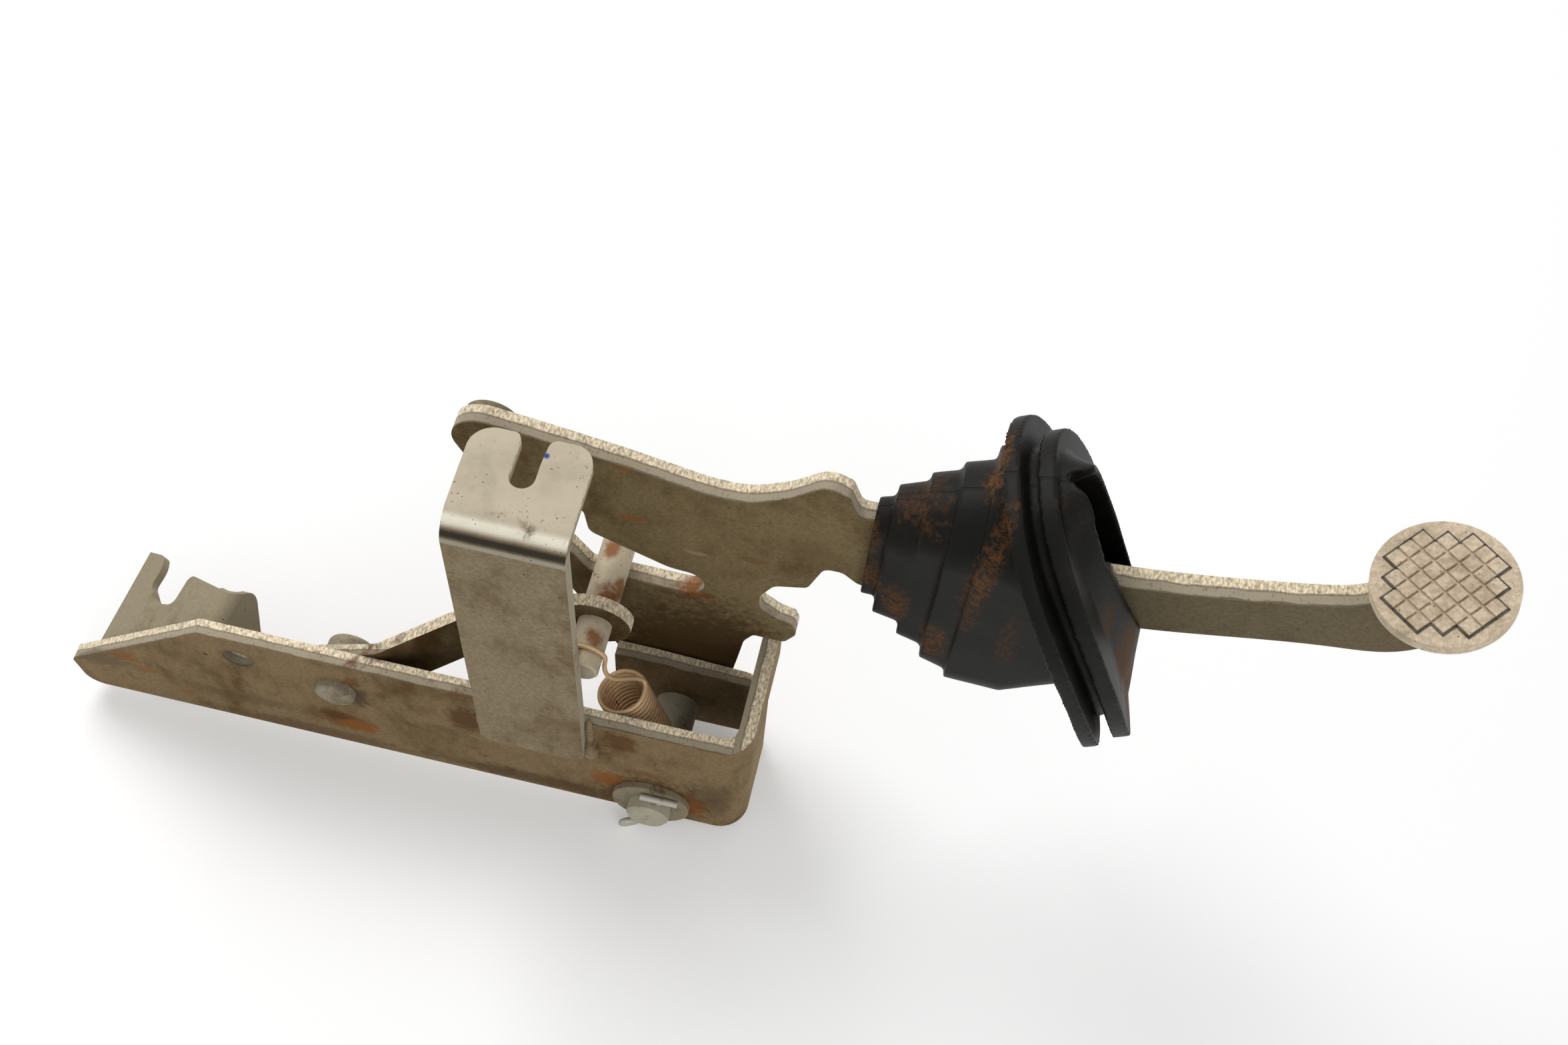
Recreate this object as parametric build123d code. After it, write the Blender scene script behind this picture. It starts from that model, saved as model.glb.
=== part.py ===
from build123d import *
from math import atan2, cos, radians, sin, tan
import os

# Differential lock pedal. Millimetres, +Z up. The sizes are drawn from the main pivot
# axis, in the outer face of the bracket's near wall: X runs along the bracket towards
# the pad and Y goes back from that face. The pieces are written with the origin in the
# mouth of the bracket's bolt hole, which lies in the same face.

# bracket: one folded strip with a slanted left end
STRIP = 6.0
CHANNEL_W = 34.5
WALL_BOTTOM = -13.0
WALL_TOP = 57.0
WEB_OUTER_X = 35.0
BEND_INNER_R = 5.0
SLANT_TOP_X = -166.0
TIP_X, TIP_Z, TIP_R = -226.0, 5.8, 3.0
TOE_X, TOE_R = -223.6, 7.5
FAR_WALL_END_X = -24.5
FAR_WALL_LEFT_Z, FAR_WALL_RIGHT_Z = 31.0, 27.3
STOP_FOOT_Z = 30.0
STOP_OVERHANG = 1.5
BOLT_X, BOLT_Z, BOLT_D = -153.0, 43.0, 11.0

# pivot shaft and what sits on it
SHAFT_D = 16.0
SHAFT_RUN = 0.05
SHAFT_OVERHANG = 1.5
SHAFT_END = 4.4
WASHER_D, WASHER_T = 29.2, 2.5
WASHER_GAP = 0.1
WASHER_PLAY = 0.15
PIN_D = 2.5
PIN_PLAY = 0.1
PIN_TILT = 26.0
PIN_UP, PIN_DOWN = 10.7, 12.4
PIN_LEG_LEFT, PIN_LEG_RIGHT = 8.0, 6.0
PIN_EYE_R = 3.0

# lever plate
LEVER_GAP = 1.0
LEVER_T = 7.0
HUB_R = 14.0
NECK_END_X = 96.0
STOP_GAP = 0.3
CABLE_HOLE_X, CABLE_HOLE_Z, CABLE_HOLE_D = -66.7, 150.6, 10.0
BOSS_D, BOSS_T, BOSS_EDGE_R = 18.0, 3.5, 0.8

# link arm with its rivet and eye pin
ARM_T = 4.5
ARM_GAP = 0.3
ARM_OFFSET = 18.7
ARM_PIVOT_X, ARM_PIVOT_Z = -117.0, 36.0
ARM_PIVOT_R = 13.5
ARM_RIVET_D = 9.0
RIVET_HEAD_D, RIVET_HEAD_T, RIVET_HEAD_R = 14.5, 3.3, 1.3
RIVET_TAIL_D, RIVET_TAIL_T, RIVET_TAIL_R = 17.5, 7.9, 2.5
EYE_X, EYE_Z, EYE_R = -26.0, 85.0, 12.5
EYE_PIN_D = 12.0
EYE_PIN_CHAMFER = 0.8
EYE_PIN_NEAR, EYE_PIN_FAR = 18.7, 5.5
EYE_PIN_CLEAR = 0.4
EYE_WELD_LEG = 2.8
JOGGLE_START_X, JOGGLE_END_X = -102.0, -64.0

# front cable stay, an angle welded on the near wall's outer face
STAY_T = 5.0
STAY_LEFT_X, STAY_RIGHT_X = -61.5, -23.6
STAY_FOOT_Z = 33.5
STAY_TOP_Z = 188.0
STAY_TIP_Y = 31.7
STAY_BEND_R = 4.5
STAY_FOOT_R = 5.0
FINGER_LEFT_R, FINGER_RIGHT_R = 8.0, 6.5
SLOT_W, SLOT_X, SLOT_END_Y = 8.1, -42.5, 13.2
WELD_LOW_Z = 33.0
LEFT_WELD_R, LEFT_WELD_IN, LEFT_WELD_TOP_Z = 2.8, 0.6, 55.0
RIGHT_WELD_R, RIGHT_WELD_OUT, RIGHT_WELD_TOP_Z = 4.2, 1.3, 56.0

# left cable stay, a folded sheet welded on the near wall's inner face
LEFT_T = 3.0
LEFT_SLOPE = 36.3
LEFT_LEAN = 10.0
LEFT_SKEW = 5.0
LEFT_ROOT_X, LEFT_ROOT_Z = -215.6, 13.0
LEFT_SHELF, LEFT_DROP = 66.5, 33.0
LEFT_FOLD_R = 5.5

# return spring
SPRING_WIRE = 1.6
SPRING_MEAN_R = 8.6
SPRING_IN = 10.4
SPRING_TOP_Z, SPRING_LOW_Z = 54.5, 20.5
SPRING_TURNS = 14
SPRING_X, SPRING_LEAN = -14.8, 0.27
HOOK_IN = 6.6
HOOK_PLAY = 0.4

# pedal bar and pad
BAR_T, BAR_W = 8.0, 24.5
BAR_MID_Z = 134.0
PAD_X, PAD_RISE, PAD_IN = 228.3, 50.7, 0.2
PAD_D, PAD_T, PAD_TILT = 43.0, 4.2, 15.0
TREAD_PITCH, TREAD_H, TREAD_GROOVE = 5.0, 0.8, 0.8

# rubber boot round the pedal bar. Each section is its X, its end radius, and how far
# it reaches below and above the bar's middle
COLLAR = [(60.2, 7.6, 25.1, 23.6), (65.0, 7.6, 25.1, 26.3)]
STEP_1 = [(65.3, 11.4, 32.0, 30.0), (74.0, 13.9, 32.0, 33.4)]
STEP_2 = [(74.6, 13.7, 41.1, 38.7), (83.3, 15.5, 42.7, 42.3)]
STEP_3 = [(83.7, 18.1, 48.9, 44.9), (93.0, 19.7, 51.5, 48.9)]
BODY = [(93.3, 21.6, 55.3, 55.6), (112.0, 24.5, 53.0, 56.5), (138.0, 27.0, 27.0, 58.0)]
HOLLOW = [(71.0, 7.0, 22.0, 23.0), (84.0, 11.5, 32.0, 32.0), (97.0, 18.0, 47.0, 48.0)]
STEP_LAP = 1.2
FLANGE_X, FLANGE_IN, FLANGE_RISE = 122.2, -0.8, 2.4
FLANGE_TILT, FLANGE_YAW = 22.2, 10.2
FLANGE_BOW = 4.2
OVAL_POWER = 2.4
FLANGE_1_HALF_W, FLANGE_1_HALF_H, FLANGE_1_T = 45.0, 62.6, 4.9
GROOVE_W, GROOVE_DEPTH = 4.3, 6.7
FLANGE_2_HALF_W, FLANGE_2_HALF_H, FLANGE_2_T, FLANGE_2_UP = 38.2, 64.3, 5.7, -4.6
HOOD_FOOT_HALF_W, HOOD_FOOT_HALF_H, HOOD_FOOT_UP = 29.0, 60.0, -2.5
HOOD_END_HALF_W, HOOD_END_HALF_H, HOOD_WALL = 12.6, 41.0, 2.4
MOUTH_AHEAD, MOUTH_UP, MOUTH_SIDE = 22.0, 18.2, -1.6
THROAT_HALF_W, THROAT_HALF_H, THROAT_UP = 17.0, 36.0, 13.0

ARM_LOW_Y = STRIP + ARM_GAP
ARM_HIGH_Y = ARM_LOW_Y + ARM_OFFSET
FAR_WALL_INNER_Y = STRIP + CHANNEL_W
FAR_WALL_OUTER_Y = FAR_WALL_INNER_Y + STRIP
LEVER_NEAR_Y = FAR_WALL_OUTER_Y + LEVER_GAP
LEVER_FAR_Y = LEVER_NEAR_Y + LEVER_T
LEVER_MID_Y = (LEVER_NEAR_Y + LEVER_FAR_Y) / 2
STOP_REACH_Y = LEVER_FAR_Y + STOP_OVERHANG
PIN_Y = -(WASHER_GAP + WASHER_T + PIN_D / 2 + PIN_PLAY / 2)
SPRING_Y = STRIP + SPRING_IN
HOOK_Y = STRIP + HOOK_IN
BAR_LOW_Z, BAR_HIGH_Z = BAR_MID_Z - BAR_W / 2, BAR_MID_Z + BAR_W / 2


def rounded_face(points, plane):
    """Face inside a polygon whose corners (a, b, radius) are rounded."""
    corners = [Vector(a, b) for a, b, _ in points]
    radii = [r for _, _, r in points]
    count = len(points)
    starts, ends = [], []
    for i, here in enumerate(corners):
        before = corners[i - 1] - here
        after = corners[(i + 1) % count] - here
        if radii[i] == 0:
            starts.append(here)
            ends.append(here)
            continue
        half = radians(before.get_angle(after)) / 2
        reach = radii[i] * cos(half) / sin(half)
        starts.append(here + before.normalized() * reach)
        ends.append(here + after.normalized() * reach)
    edges = []
    for i, here in enumerate(corners):
        if radii[i]:
            away = ((starts[i] + ends[i]) / 2 - here).normalized()
            half = radians((starts[i] - here).get_angle(ends[i] - here)) / 2
            centre = here + away * (radii[i] / sin(half))
            edges.append(ThreePointArc(starts[i], centre - away * radii[i], ends[i]))
        following = starts[(i + 1) % count]
        if (following - ends[i]).length > 1e-4:
            edges.append(Line(ends[i], following))
    return plane * make_face(Wire(edges))


def side_plane(y):
    """Plane of constant Y with X to the right and Z up; its normal is -Y."""
    return Plane(origin=(0, y, 0), x_dir=(1, 0, 0), z_dir=(0, -1, 0))


def plate(points, near_y, far_y):
    return extrude(rounded_face(points, side_plane(far_y)), far_y - near_y)


def rod(x, z, diameter, near_y, far_y):
    face = side_plane(far_y) * Pos(x, z) * Circle(diameter / 2)
    return extrude(face, far_y - near_y)


def block(low, high):
    size = [b - a for a, b in zip(low, high)]
    middle = [(a + b) / 2 for a, b in zip(low, high)]
    return Pos(*middle) * Box(*size)


def bracket_channel():
    """Near wall, web and short far wall in one strip, with the lever's stop beside it."""
    outer_r = BEND_INNER_R + STRIP
    inner_x = WEB_OUTER_X - STRIP
    start_x, past_y = FAR_WALL_END_X, STOP_REACH_Y + 20
    near_wall = plate([(SLANT_TOP_X, WALL_TOP, 1.5), (0, WALL_TOP, 0), (0, WALL_BOTTOM, 0),
                       (TOE_X, WALL_BOTTOM, TOE_R), (TIP_X, TIP_Z, TIP_R)], 0, STRIP)
    outline = [(-2, 0, 0), (WEB_OUTER_X, 0, outer_r), (WEB_OUTER_X, FAR_WALL_OUTER_Y, outer_r),
               (start_x, FAR_WALL_OUTER_Y, 0), (start_x, FAR_WALL_INNER_Y, 0),
               (inner_x, FAR_WALL_INNER_Y, BEND_INNER_R), (inner_x, STRIP, BEND_INNER_R),
               (-2, STRIP, 0)]
    fold = extrude(rounded_face(outline, Plane.XY.offset(WALL_BOTTOM)), WALL_TOP - WALL_BOTTOM)
    fold -= block((start_x - 20, FAR_WALL_INNER_Y - BEND_INNER_R, STOP_FOOT_Z),
                  (WEB_OUTER_X + 20, past_y, WALL_TOP + 20))
    fold -= plate([(start_x, FAR_WALL_LEFT_Z, 2), (inner_x, FAR_WALL_RIGHT_Z, 0),
                   (inner_x, WALL_TOP + 20, 0), (start_x, WALL_TOP + 20, 0)],
                  FAR_WALL_INNER_Y - 2, past_y)
    fold -= plate([(start_x - 15, WALL_BOTTOM - 1, 0), (start_x + 6.5, WALL_BOTTOM - 1, 0),
                   (start_x + 1, WALL_BOTTOM + 9, 12), (start_x, WALL_BOTTOM + 19, 0),
                   (start_x - 15, WALL_BOTTOM + 19, 0)], FAR_WALL_INNER_Y - 2, past_y)
    stop = block((inner_x, FAR_WALL_INNER_Y - BEND_INNER_R - 0.5, STOP_FOOT_Z),
                 (WEB_OUTER_X, STOP_REACH_Y, WALL_TOP))
    body = near_wall + fold + stop
    body -= rod(0, 0, SHAFT_D + 2 * SHAFT_RUN, -1, past_y)
    body -= rod(BOLT_X, BOLT_Z, BOLT_D, -1, STRIP + 1)
    return body - rod(ARM_PIVOT_X, ARM_PIVOT_Z, ARM_RIVET_D, -1, STRIP + 1)


def front_cable_stay():
    under = STAY_TOP_Z - STAY_T
    side = Plane(origin=(STAY_LEFT_X, 0, 0), x_dir=(0, 1, 0), z_dir=(1, 0, 0))
    profile = [(-STAY_T, STAY_FOOT_Z, 0), (0, STAY_FOOT_Z, 0), (0, under, STAY_BEND_R),
               (STAY_TIP_Y, under, 0), (STAY_TIP_Y, STAY_TOP_Z, 0),
               (-STAY_T, STAY_TOP_Z, STAY_BEND_R + STAY_T)]
    stay = extrude(rounded_face(profile, side), STAY_RIGHT_X - STAY_LEFT_X)
    slot_r = SLOT_W / 2
    left, right = SLOT_X - slot_r, SLOT_X + slot_r
    outline = [(STAY_LEFT_X, -20, 0), (STAY_RIGHT_X, -20, 0),
               (STAY_RIGHT_X, STAY_TIP_Y, FINGER_RIGHT_R),
               (right + 0.8, STAY_TIP_Y, 3), (right, STAY_TIP_Y - 9, 20),
               (right, SLOT_END_Y, slot_r - 0.01), (left, SLOT_END_Y, slot_r - 0.01),
               (left, STAY_TIP_Y, 2.5), (STAY_LEFT_X, STAY_TIP_Y, FINGER_LEFT_R)]
    keep = extrude(rounded_face(outline, Plane.XY.offset(STAY_FOOT_Z)), STAY_TOP_Z)
    foot = plate([(STAY_LEFT_X, STAY_TOP_Z + 20, 0), (STAY_RIGHT_X, STAY_TOP_Z + 20, 0),
                  (STAY_RIGHT_X, STAY_FOOT_Z, STAY_FOOT_R),
                  (STAY_LEFT_X, STAY_FOOT_Z, STAY_FOOT_R)], -STAY_T - 10, STAY_TIP_Y + 10)
    return stay & keep & foot


def stay_weld(x, high_z, radius):
    """Bead lying in the corner between the stay's edge and the near wall."""
    bead = extrude(Plane((x, 0, WELD_LOW_Z), z_dir=(0, 0, 1)) * Circle(radius), high_z - WELD_LOW_Z)
    bead += Pos(x, 0, WELD_LOW_Z) * Sphere(radius)
    bead += Pos(x, 0, high_z) * Sphere(radius)
    bead -= block((x - 20, 0, WELD_LOW_Z - 20), (x + 20, 20, high_z + 20))
    return bead - front_cable_stay()


def left_weld():
    return stay_weld(STAY_LEFT_X - LEFT_WELD_IN, LEFT_WELD_TOP_Z, LEFT_WELD_R)


def right_weld():
    return stay_weld(STAY_RIGHT_X + RIGHT_WELD_OUT, RIGHT_WELD_TOP_Z, RIGHT_WELD_R)


def left_cable_stay():
    """Folded sheet: a notched shelf under the slanted edge and a flange bent down."""
    slope, lean = radians(LEFT_SLOPE), radians(LEFT_LEAN)
    root = Vector(LEFT_ROOT_X, 0, LEFT_ROOT_Z)
    along = Vector(cos(slope), 0, sin(slope))
    down = Vector(sin(lean), 0, -cos(lean))
    corner = root + along * LEFT_SHELF
    foot = corner + down * LEFT_DROP
    shelf_in = Vector(sin(slope), 0, -cos(slope)) * LEFT_T
    flange_in = Vector(-cos(lean), 0, -sin(lean)) * LEFT_T
    gap = corner + flange_in - root - shelf_in
    reach = (gap.X * down.Z - gap.Z * down.X) / (along.X * down.Z - along.Z * down.X)
    inner = root + shelf_in + along * reach
    root_in, foot_in = root + shelf_in, foot + flange_in
    profile = [(root.X, root.Z, 0), (corner.X, corner.Z, LEFT_FOLD_R), (foot.X, foot.Z, 0),
               (foot_in.X, foot_in.Z, 0), (inner.X, inner.Z, LEFT_FOLD_R - LEFT_T),
               (root_in.X, root_in.Z, 0)]
    fold = plate(profile, -8, 60)
    shelf = [(0.4, -8, 0), (LEFT_SHELF, -8, 0), (LEFT_SHELF, 18.5, 0), (34.6, 28.7, 2.6),
             (33.2, 15.4, 3.2), (23.0, 16.4, 12), (13.0, 25.0, 3.5), (13.8, 33.0, 10),
             (10.8, 38.6, 5), (-5.6, 42.2, 4.5)]
    flange = [(0, -8, 0), (LEFT_DROP + 1, -8, 0), (LEFT_DROP + 1, 16.8, 4), (13.5, 27.9, 8),
              (0, 17.6, 0)]
    shelf_plane = Plane(origin=root, x_dir=along, z_dir=along.cross(Vector(0, 1, 0)))
    flange_plane = Plane(origin=corner, x_dir=down, z_dir=down.cross(Vector(0, 1, 0)))
    keep = extrude(rounded_face(shelf, shelf_plane), 10, both=True)
    keep += extrude(rounded_face(flange, flange_plane), 10, both=True)
    turned = Rot(0, 0, -LEFT_SKEW) * (Pos(-root.X, 0, -root.Z) * (fold & keep))
    placed = Pos(root.X, STRIP, root.Z) * turned
    return placed - block((-300, -60, -90), (-80, STRIP, 150))


def arm_pivot_rivet():
    arm_far_y = ARM_LOW_Y + ARM_T
    tail_y = arm_far_y + ARM_GAP
    head = rod(ARM_PIVOT_X, ARM_PIVOT_Z, RIVET_HEAD_D, -RIVET_HEAD_T, 0)
    head = fillet(head.faces().sort_by(Axis.Y)[0].edges(), RIVET_HEAD_R)
    tail = rod(ARM_PIVOT_X, ARM_PIVOT_Z, RIVET_TAIL_D, tail_y, tail_y + RIVET_TAIL_T)
    tail = fillet(tail.faces().sort_by(Axis.Y)[-1].edges(), RIVET_TAIL_R)
    return head + tail + rod(ARM_PIVOT_X, ARM_PIVOT_Z, ARM_RIVET_D, -1, tail_y + 1)


def link_arm():
    """Flat link with a double bend that carries its eye clear of the near wall."""
    low, high, t = ARM_LOW_Y, ARM_HIGH_Y, ARM_T
    x1, x2 = JOGGLE_START_X, JOGGLE_END_X
    x0, x3 = ARM_PIVOT_X - ARM_PIVOT_R - 5, EYE_X + EYE_R + 5
    shift = t * tan(atan2(high - low, x2 - x1) / 2)
    profile = [(x0, low, 0), (x1, low, 12), (x2, high, 10), (x3, high, 0), (x3, high + t, 0),
               (x2 - shift, high + t, 14), (x1 - shift, low + t, 8), (x0, low + t, 0)]
    strip = extrude(rounded_face(profile, Plane.XY), 2 * EYE_Z)
    ends = Pos(ARM_PIVOT_X, ARM_PIVOT_Z) * Circle(ARM_PIVOT_R)
    eye = Pos(EYE_X, EYE_Z) * Circle(EYE_R)
    outline = side_plane(ARM_HIGH_Y + 20) * make_hull(ends.edges() + eye.edges())
    arm = strip & extrude(outline, ARM_HIGH_Y + 40)
    arm -= rod(ARM_PIVOT_X, ARM_PIVOT_Z, ARM_RIVET_D + 2 * SHAFT_RUN, -5, ARM_HIGH_Y)
    return arm - rod(EYE_X, EYE_Z, EYE_PIN_D, -5, ARM_HIGH_Y + 20)


def eye_pin():
    pin = rod(EYE_X, EYE_Z, EYE_PIN_D, ARM_HIGH_Y - EYE_PIN_NEAR, LEVER_FAR_Y + EYE_PIN_FAR)
    ends = pin.faces().sort_by(Axis.Y)
    return chamfer(ends[0].edges() + ends[-1].edges(), EYE_PIN_CHAMFER)


def eye_pin_weld():
    """Fillet of weld round the pin behind the arm."""
    r, leg = EYE_PIN_D / 2, EYE_WELD_LEG
    ring = Polyline((r, 0), (r + leg, 0), (r + 0.45 * leg, 0.45 * leg), (r, leg), (r, 0))
    return Pos(EYE_X, ARM_HIGH_Y + ARM_T, EYE_Z) * revolve(make_face(ring), Axis.Y)


def wire_along(path):
    section = Plane(origin=path @ 0, z_dir=path % 0) * Circle(SPRING_WIRE / 2)
    return sweep(section, path=path, is_frenet=True)


def return_spring():
    """Extension spring hooked over the eye pin and round the pivot shaft."""
    low = Vector(SPRING_X + SPRING_LEAN * (SPRING_TOP_Z - SPRING_LOW_Z), SPRING_Y, SPRING_LOW_Z)
    high = Vector(SPRING_X, SPRING_Y, SPRING_TOP_Z)
    rise = high - low
    coil = Helix(rise.length / SPRING_TURNS, rise.length, SPRING_MEAN_R, center=low,
                 direction=rise)
    first, last = coil @ 0, coil @ 1
    shaft_hook = (SHAFT_D + SPRING_WIRE) / 2 + HOOK_PLAY
    lower = [Vector(shaft_hook * cos(radians(a)), SPRING_Y, shaft_hook * sin(radians(a)))
             for a in (-100, -60, -20, 20, 55)]
    lower.append(Vector(shaft_hook * 0.43, SPRING_Y + 0.5, shaft_hook * 1.26))
    pin_hook = (EYE_PIN_D + SPRING_WIRE) / 2 + HOOK_PLAY
    upper = [Vector(EYE_X + pin_hook * cos(radians(a)), HOOK_Y, EYE_Z + pin_hook * sin(radians(a)))
             for a in (-20, 20, 65, 110, 155, 200, 240)]
    upper.insert(0, Vector(SPRING_X - 1, HOOK_Y + 1.5, (SPRING_TOP_Z + EYE_Z) / 2 - 1.5))
    tail = Spline(*lower, first, tangents=[Vector(0.985, 0, -0.17), coil % 0])
    head = Spline(last, *upper, tangents=[coil % 1, Vector(0.8, 0, -0.6)])
    return wire_along(coil) + wire_along(tail) + wire_along(head)


def lever_plate():
    nose_z = WALL_TOP + STOP_GAP
    outline = [
        (-84.3, 164.6, 11.3), (-45.5, 158.8, 60), (-19.6, 154.2, 80), (5.6, 148.2, 30),
        (19.0, 147.8, 22), (32, 156.3, 25), (44.0, 168.4, 6), (51.5, 165.2, 3.2),
        (55.2, 154.9, 3.2), (66, 155.2, 8), (NECK_END_X, BAR_HIGH_Z, 0),
        (NECK_END_X, BAR_LOW_Z, 0),
        (70, 112.6, 8), (59.0, 111.8, 4), (53.2, 117.4, 4), (47.0, 117.2, 3.6),
        (42.4, 101.6, 3.6), (31.0, 97.6, 5), (26.4, 88, 6), (26.6, 78.6, 5),
        (33.5, 72.7, 5), (39.0, 71.0, 2.6), (40.8, 65.0, 4), (36.8, nose_z, 2.6),
        (25.4, nose_z, 2.0), (22.2, 51, 10), (20.2, 33.9, 30), (18.8, 23.3, 40),
        (13.75, -2.7, 0), (0, -4, 0), (-12.9, -5.5, 0)]
    body = plate(outline, LEVER_NEAR_Y, LEVER_FAR_Y)
    body += rod(0, 0, 2 * HUB_R, LEVER_NEAR_Y, LEVER_FAR_Y)
    floor_z = EYE_Z - EYE_PIN_D / 2 - EYE_PIN_CLEAR
    window = [
        (-34.6, floor_z, 2), (6.8, floor_z, 7), (6.8, 93.3, 6.8), (-5.5, 94.2, 14),
        (-33.6, 107.4, 5), (-35.0, 119.6, 4), (-38.4, 123.2, 4), (-52.2, 123.2, 5),
        (-53.2, 110, 14), (-43.3, 93.3, 40)]
    near_y, far_y = LEVER_NEAR_Y - 1, LEVER_FAR_Y + 1
    body -= plate(window, near_y, far_y)
    body -= rod(0, 0, SHAFT_D, near_y, far_y)
    return body - rod(CABLE_HOLE_X, CABLE_HOLE_Z, CABLE_HOLE_D, near_y, far_y)


def cable_end_boss():
    boss = rod(CABLE_HOLE_X, CABLE_HOLE_Z, BOSS_D, LEVER_FAR_Y, LEVER_FAR_Y + BOSS_T)
    boss = fillet(boss.faces().sort_by(Axis.Y)[-1].edges(), BOSS_EDGE_R)
    return boss - rod(CABLE_HOLE_X, CABLE_HOLE_Z, CABLE_HOLE_D, 0, LEVER_FAR_Y + 20)


def pin_axis():
    tilt = radians(PIN_TILT)
    return Vector(sin(tilt), 0, cos(tilt))


def pivot_shaft():
    shaft = rod(0, 0, SHAFT_D, PIN_Y - SHAFT_END, LEVER_FAR_Y + SHAFT_OVERHANG)
    shaft = chamfer(shaft.faces().sort_by(Axis.Y)[0].edges(), 1.3)
    shaft = chamfer(shaft.faces().sort_by(Axis.Y)[-1].edges(), 1.0)
    hole = Plane(origin=(0, PIN_Y, 0), z_dir=pin_axis()) * Circle(PIN_D / 2 + PIN_PLAY)
    return shaft - extrude(hole, SHAFT_D, both=True)


def washer():
    ring = rod(0, 0, WASHER_D, -(WASHER_GAP + WASHER_T), -WASHER_GAP)
    ring = fillet(ring.faces().sort_by(Axis.Y)[0].edges(), 0.5)
    return ring - rod(0, 0, SHAFT_D + 2 * WASHER_PLAY, -WASHER_T - 5, 5)


def split_pin():
    """Straight stem through the shaft, with a crosswise bent leg and a round eye."""
    axis, base, r = pin_axis(), Vector(0, PIN_Y, 0), PIN_D / 2
    low, high = base - axis * PIN_DOWN, base + axis * PIN_UP
    stem = extrude(Plane(origin=low, z_dir=axis) * Circle(r), (high - low).length)
    start = (high.X - PIN_LEG_LEFT, PIN_Y, high.Z)
    leg = extrude(Plane(origin=start, z_dir=(1, 0, 0)) * Circle(r), PIN_LEG_LEFT + PIN_LEG_RIGHT)
    centre = low - axis * (PIN_EYE_R - 0.2) + Vector(-0.6, -1.9, 0)
    eye = Plane(origin=centre, x_dir=axis, z_dir=(0.35, -0.8, -0.2)) * Torus(PIN_EYE_R, r)
    return stem + leg + eye


def pad_plane(drop=0.0):
    tilt = radians(PAD_TILT)
    normal = Vector(-sin(tilt), 0, cos(tilt))
    centre = Vector(PAD_X, LEVER_NEAR_Y + BAR_T / 2 + PAD_IN, BAR_MID_Z + PAD_RISE)
    return Plane(origin=centre - normal * drop, x_dir=(cos(tilt), 0, sin(tilt)), z_dir=normal)


def pedal_bar():
    """Flat bar that leaves the boot and curves up to meet the pad's underside."""
    low, high = BAR_LOW_Z, BAR_HIGH_Z
    past_pad = BAR_MID_Z + PAD_RISE + 6
    top_points = [(116, high), (134, high + 1.2), (163.8, high + 6.6), (194.6, high + 15.3),
                  (207, high + 20.6), (215.0, high + 30), (216.5, past_pad)]
    low_points = [(241.5, past_pad), (240.0, low + 51.2), (234.5, low + 32.0),
                  (225.5, low + 23.2), (209.2, low + 18.6), (169.4, low + 7.8),
                  (138, low + 0.6), (116, low)]
    edges = [Line((NECK_END_X, high), top_points[0]), Spline(*top_points),
             Line(top_points[-1], low_points[0]), Spline(*low_points),
             Line(low_points[-1], (NECK_END_X, low)), Line((NECK_END_X, low), (NECK_END_X, high))]
    bar = extrude(side_plane(LEVER_NEAR_Y + BAR_T) * make_face(Wire(edges)), BAR_T)
    return bar - extrude(pad_plane(PAD_T) * Rectangle(200, 200), 60)


def pedal_pad():
    """Tilted disc with a field of square studs set corner to corner."""
    pad = extrude(pad_plane(PAD_T) * Circle(PAD_D / 2), PAD_T)
    side = TREAD_PITCH - TREAD_GROOVE
    for i in range(-3, 4):
        for j in range(-3, 4):
            if abs(i) + abs(j) <= 4:
                spot = Rot(0, 0, 45) * Pos(i * TREAD_PITCH, j * TREAD_PITCH)
                pad += extrude(pad_plane() * spot * Rectangle(side, side), TREAD_H)
    return pad


def upright(x, radius, below, above):
    """Stadium face in the plane of constant X, round the bar's middle height."""
    centre = (x, LEVER_MID_Y, BAR_MID_Z + (above - below) / 2)
    plane = Plane(origin=centre, x_dir=(0, 1, 0), z_dir=(1, 0, 0))
    return plane * SlotOverall(below + above, 2 * radius, rotation=90)


def leaning_plane(ahead=0.0, up=0.0, aside=0.0):
    """Plane across the boot's leaning flanges, moved along its own three directions."""
    lean, yaw = radians(FLANGE_TILT), radians(FLANGE_YAW)
    rise = Vector(-sin(lean), 0, cos(lean))
    out = Vector(cos(lean) * cos(yaw), sin(yaw), sin(lean) * cos(yaw))
    across = rise.cross(out)
    root = Vector(FLANGE_X, LEVER_MID_Y + FLANGE_IN, BAR_MID_Z + FLANGE_RISE)
    return Plane(origin=root + out * ahead + rise * up + across * aside, x_dir=across, z_dir=out)


def oval(half_width, half_height, plane, power=OVAL_POWER):
    """Face that is fuller than an ellipse where the power is above 2."""
    points = []
    for step in range(24):
        a, b = cos(radians(15 * step)), sin(radians(15 * step))
        points.append((half_width * abs(a) ** (2 / power) * (1 if a > 0 else -1),
                       half_height * abs(b) ** (2 / power) * (1 if b > 0 else -1)))
    return plane * make_face(Spline(*points, periodic=True))


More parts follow.
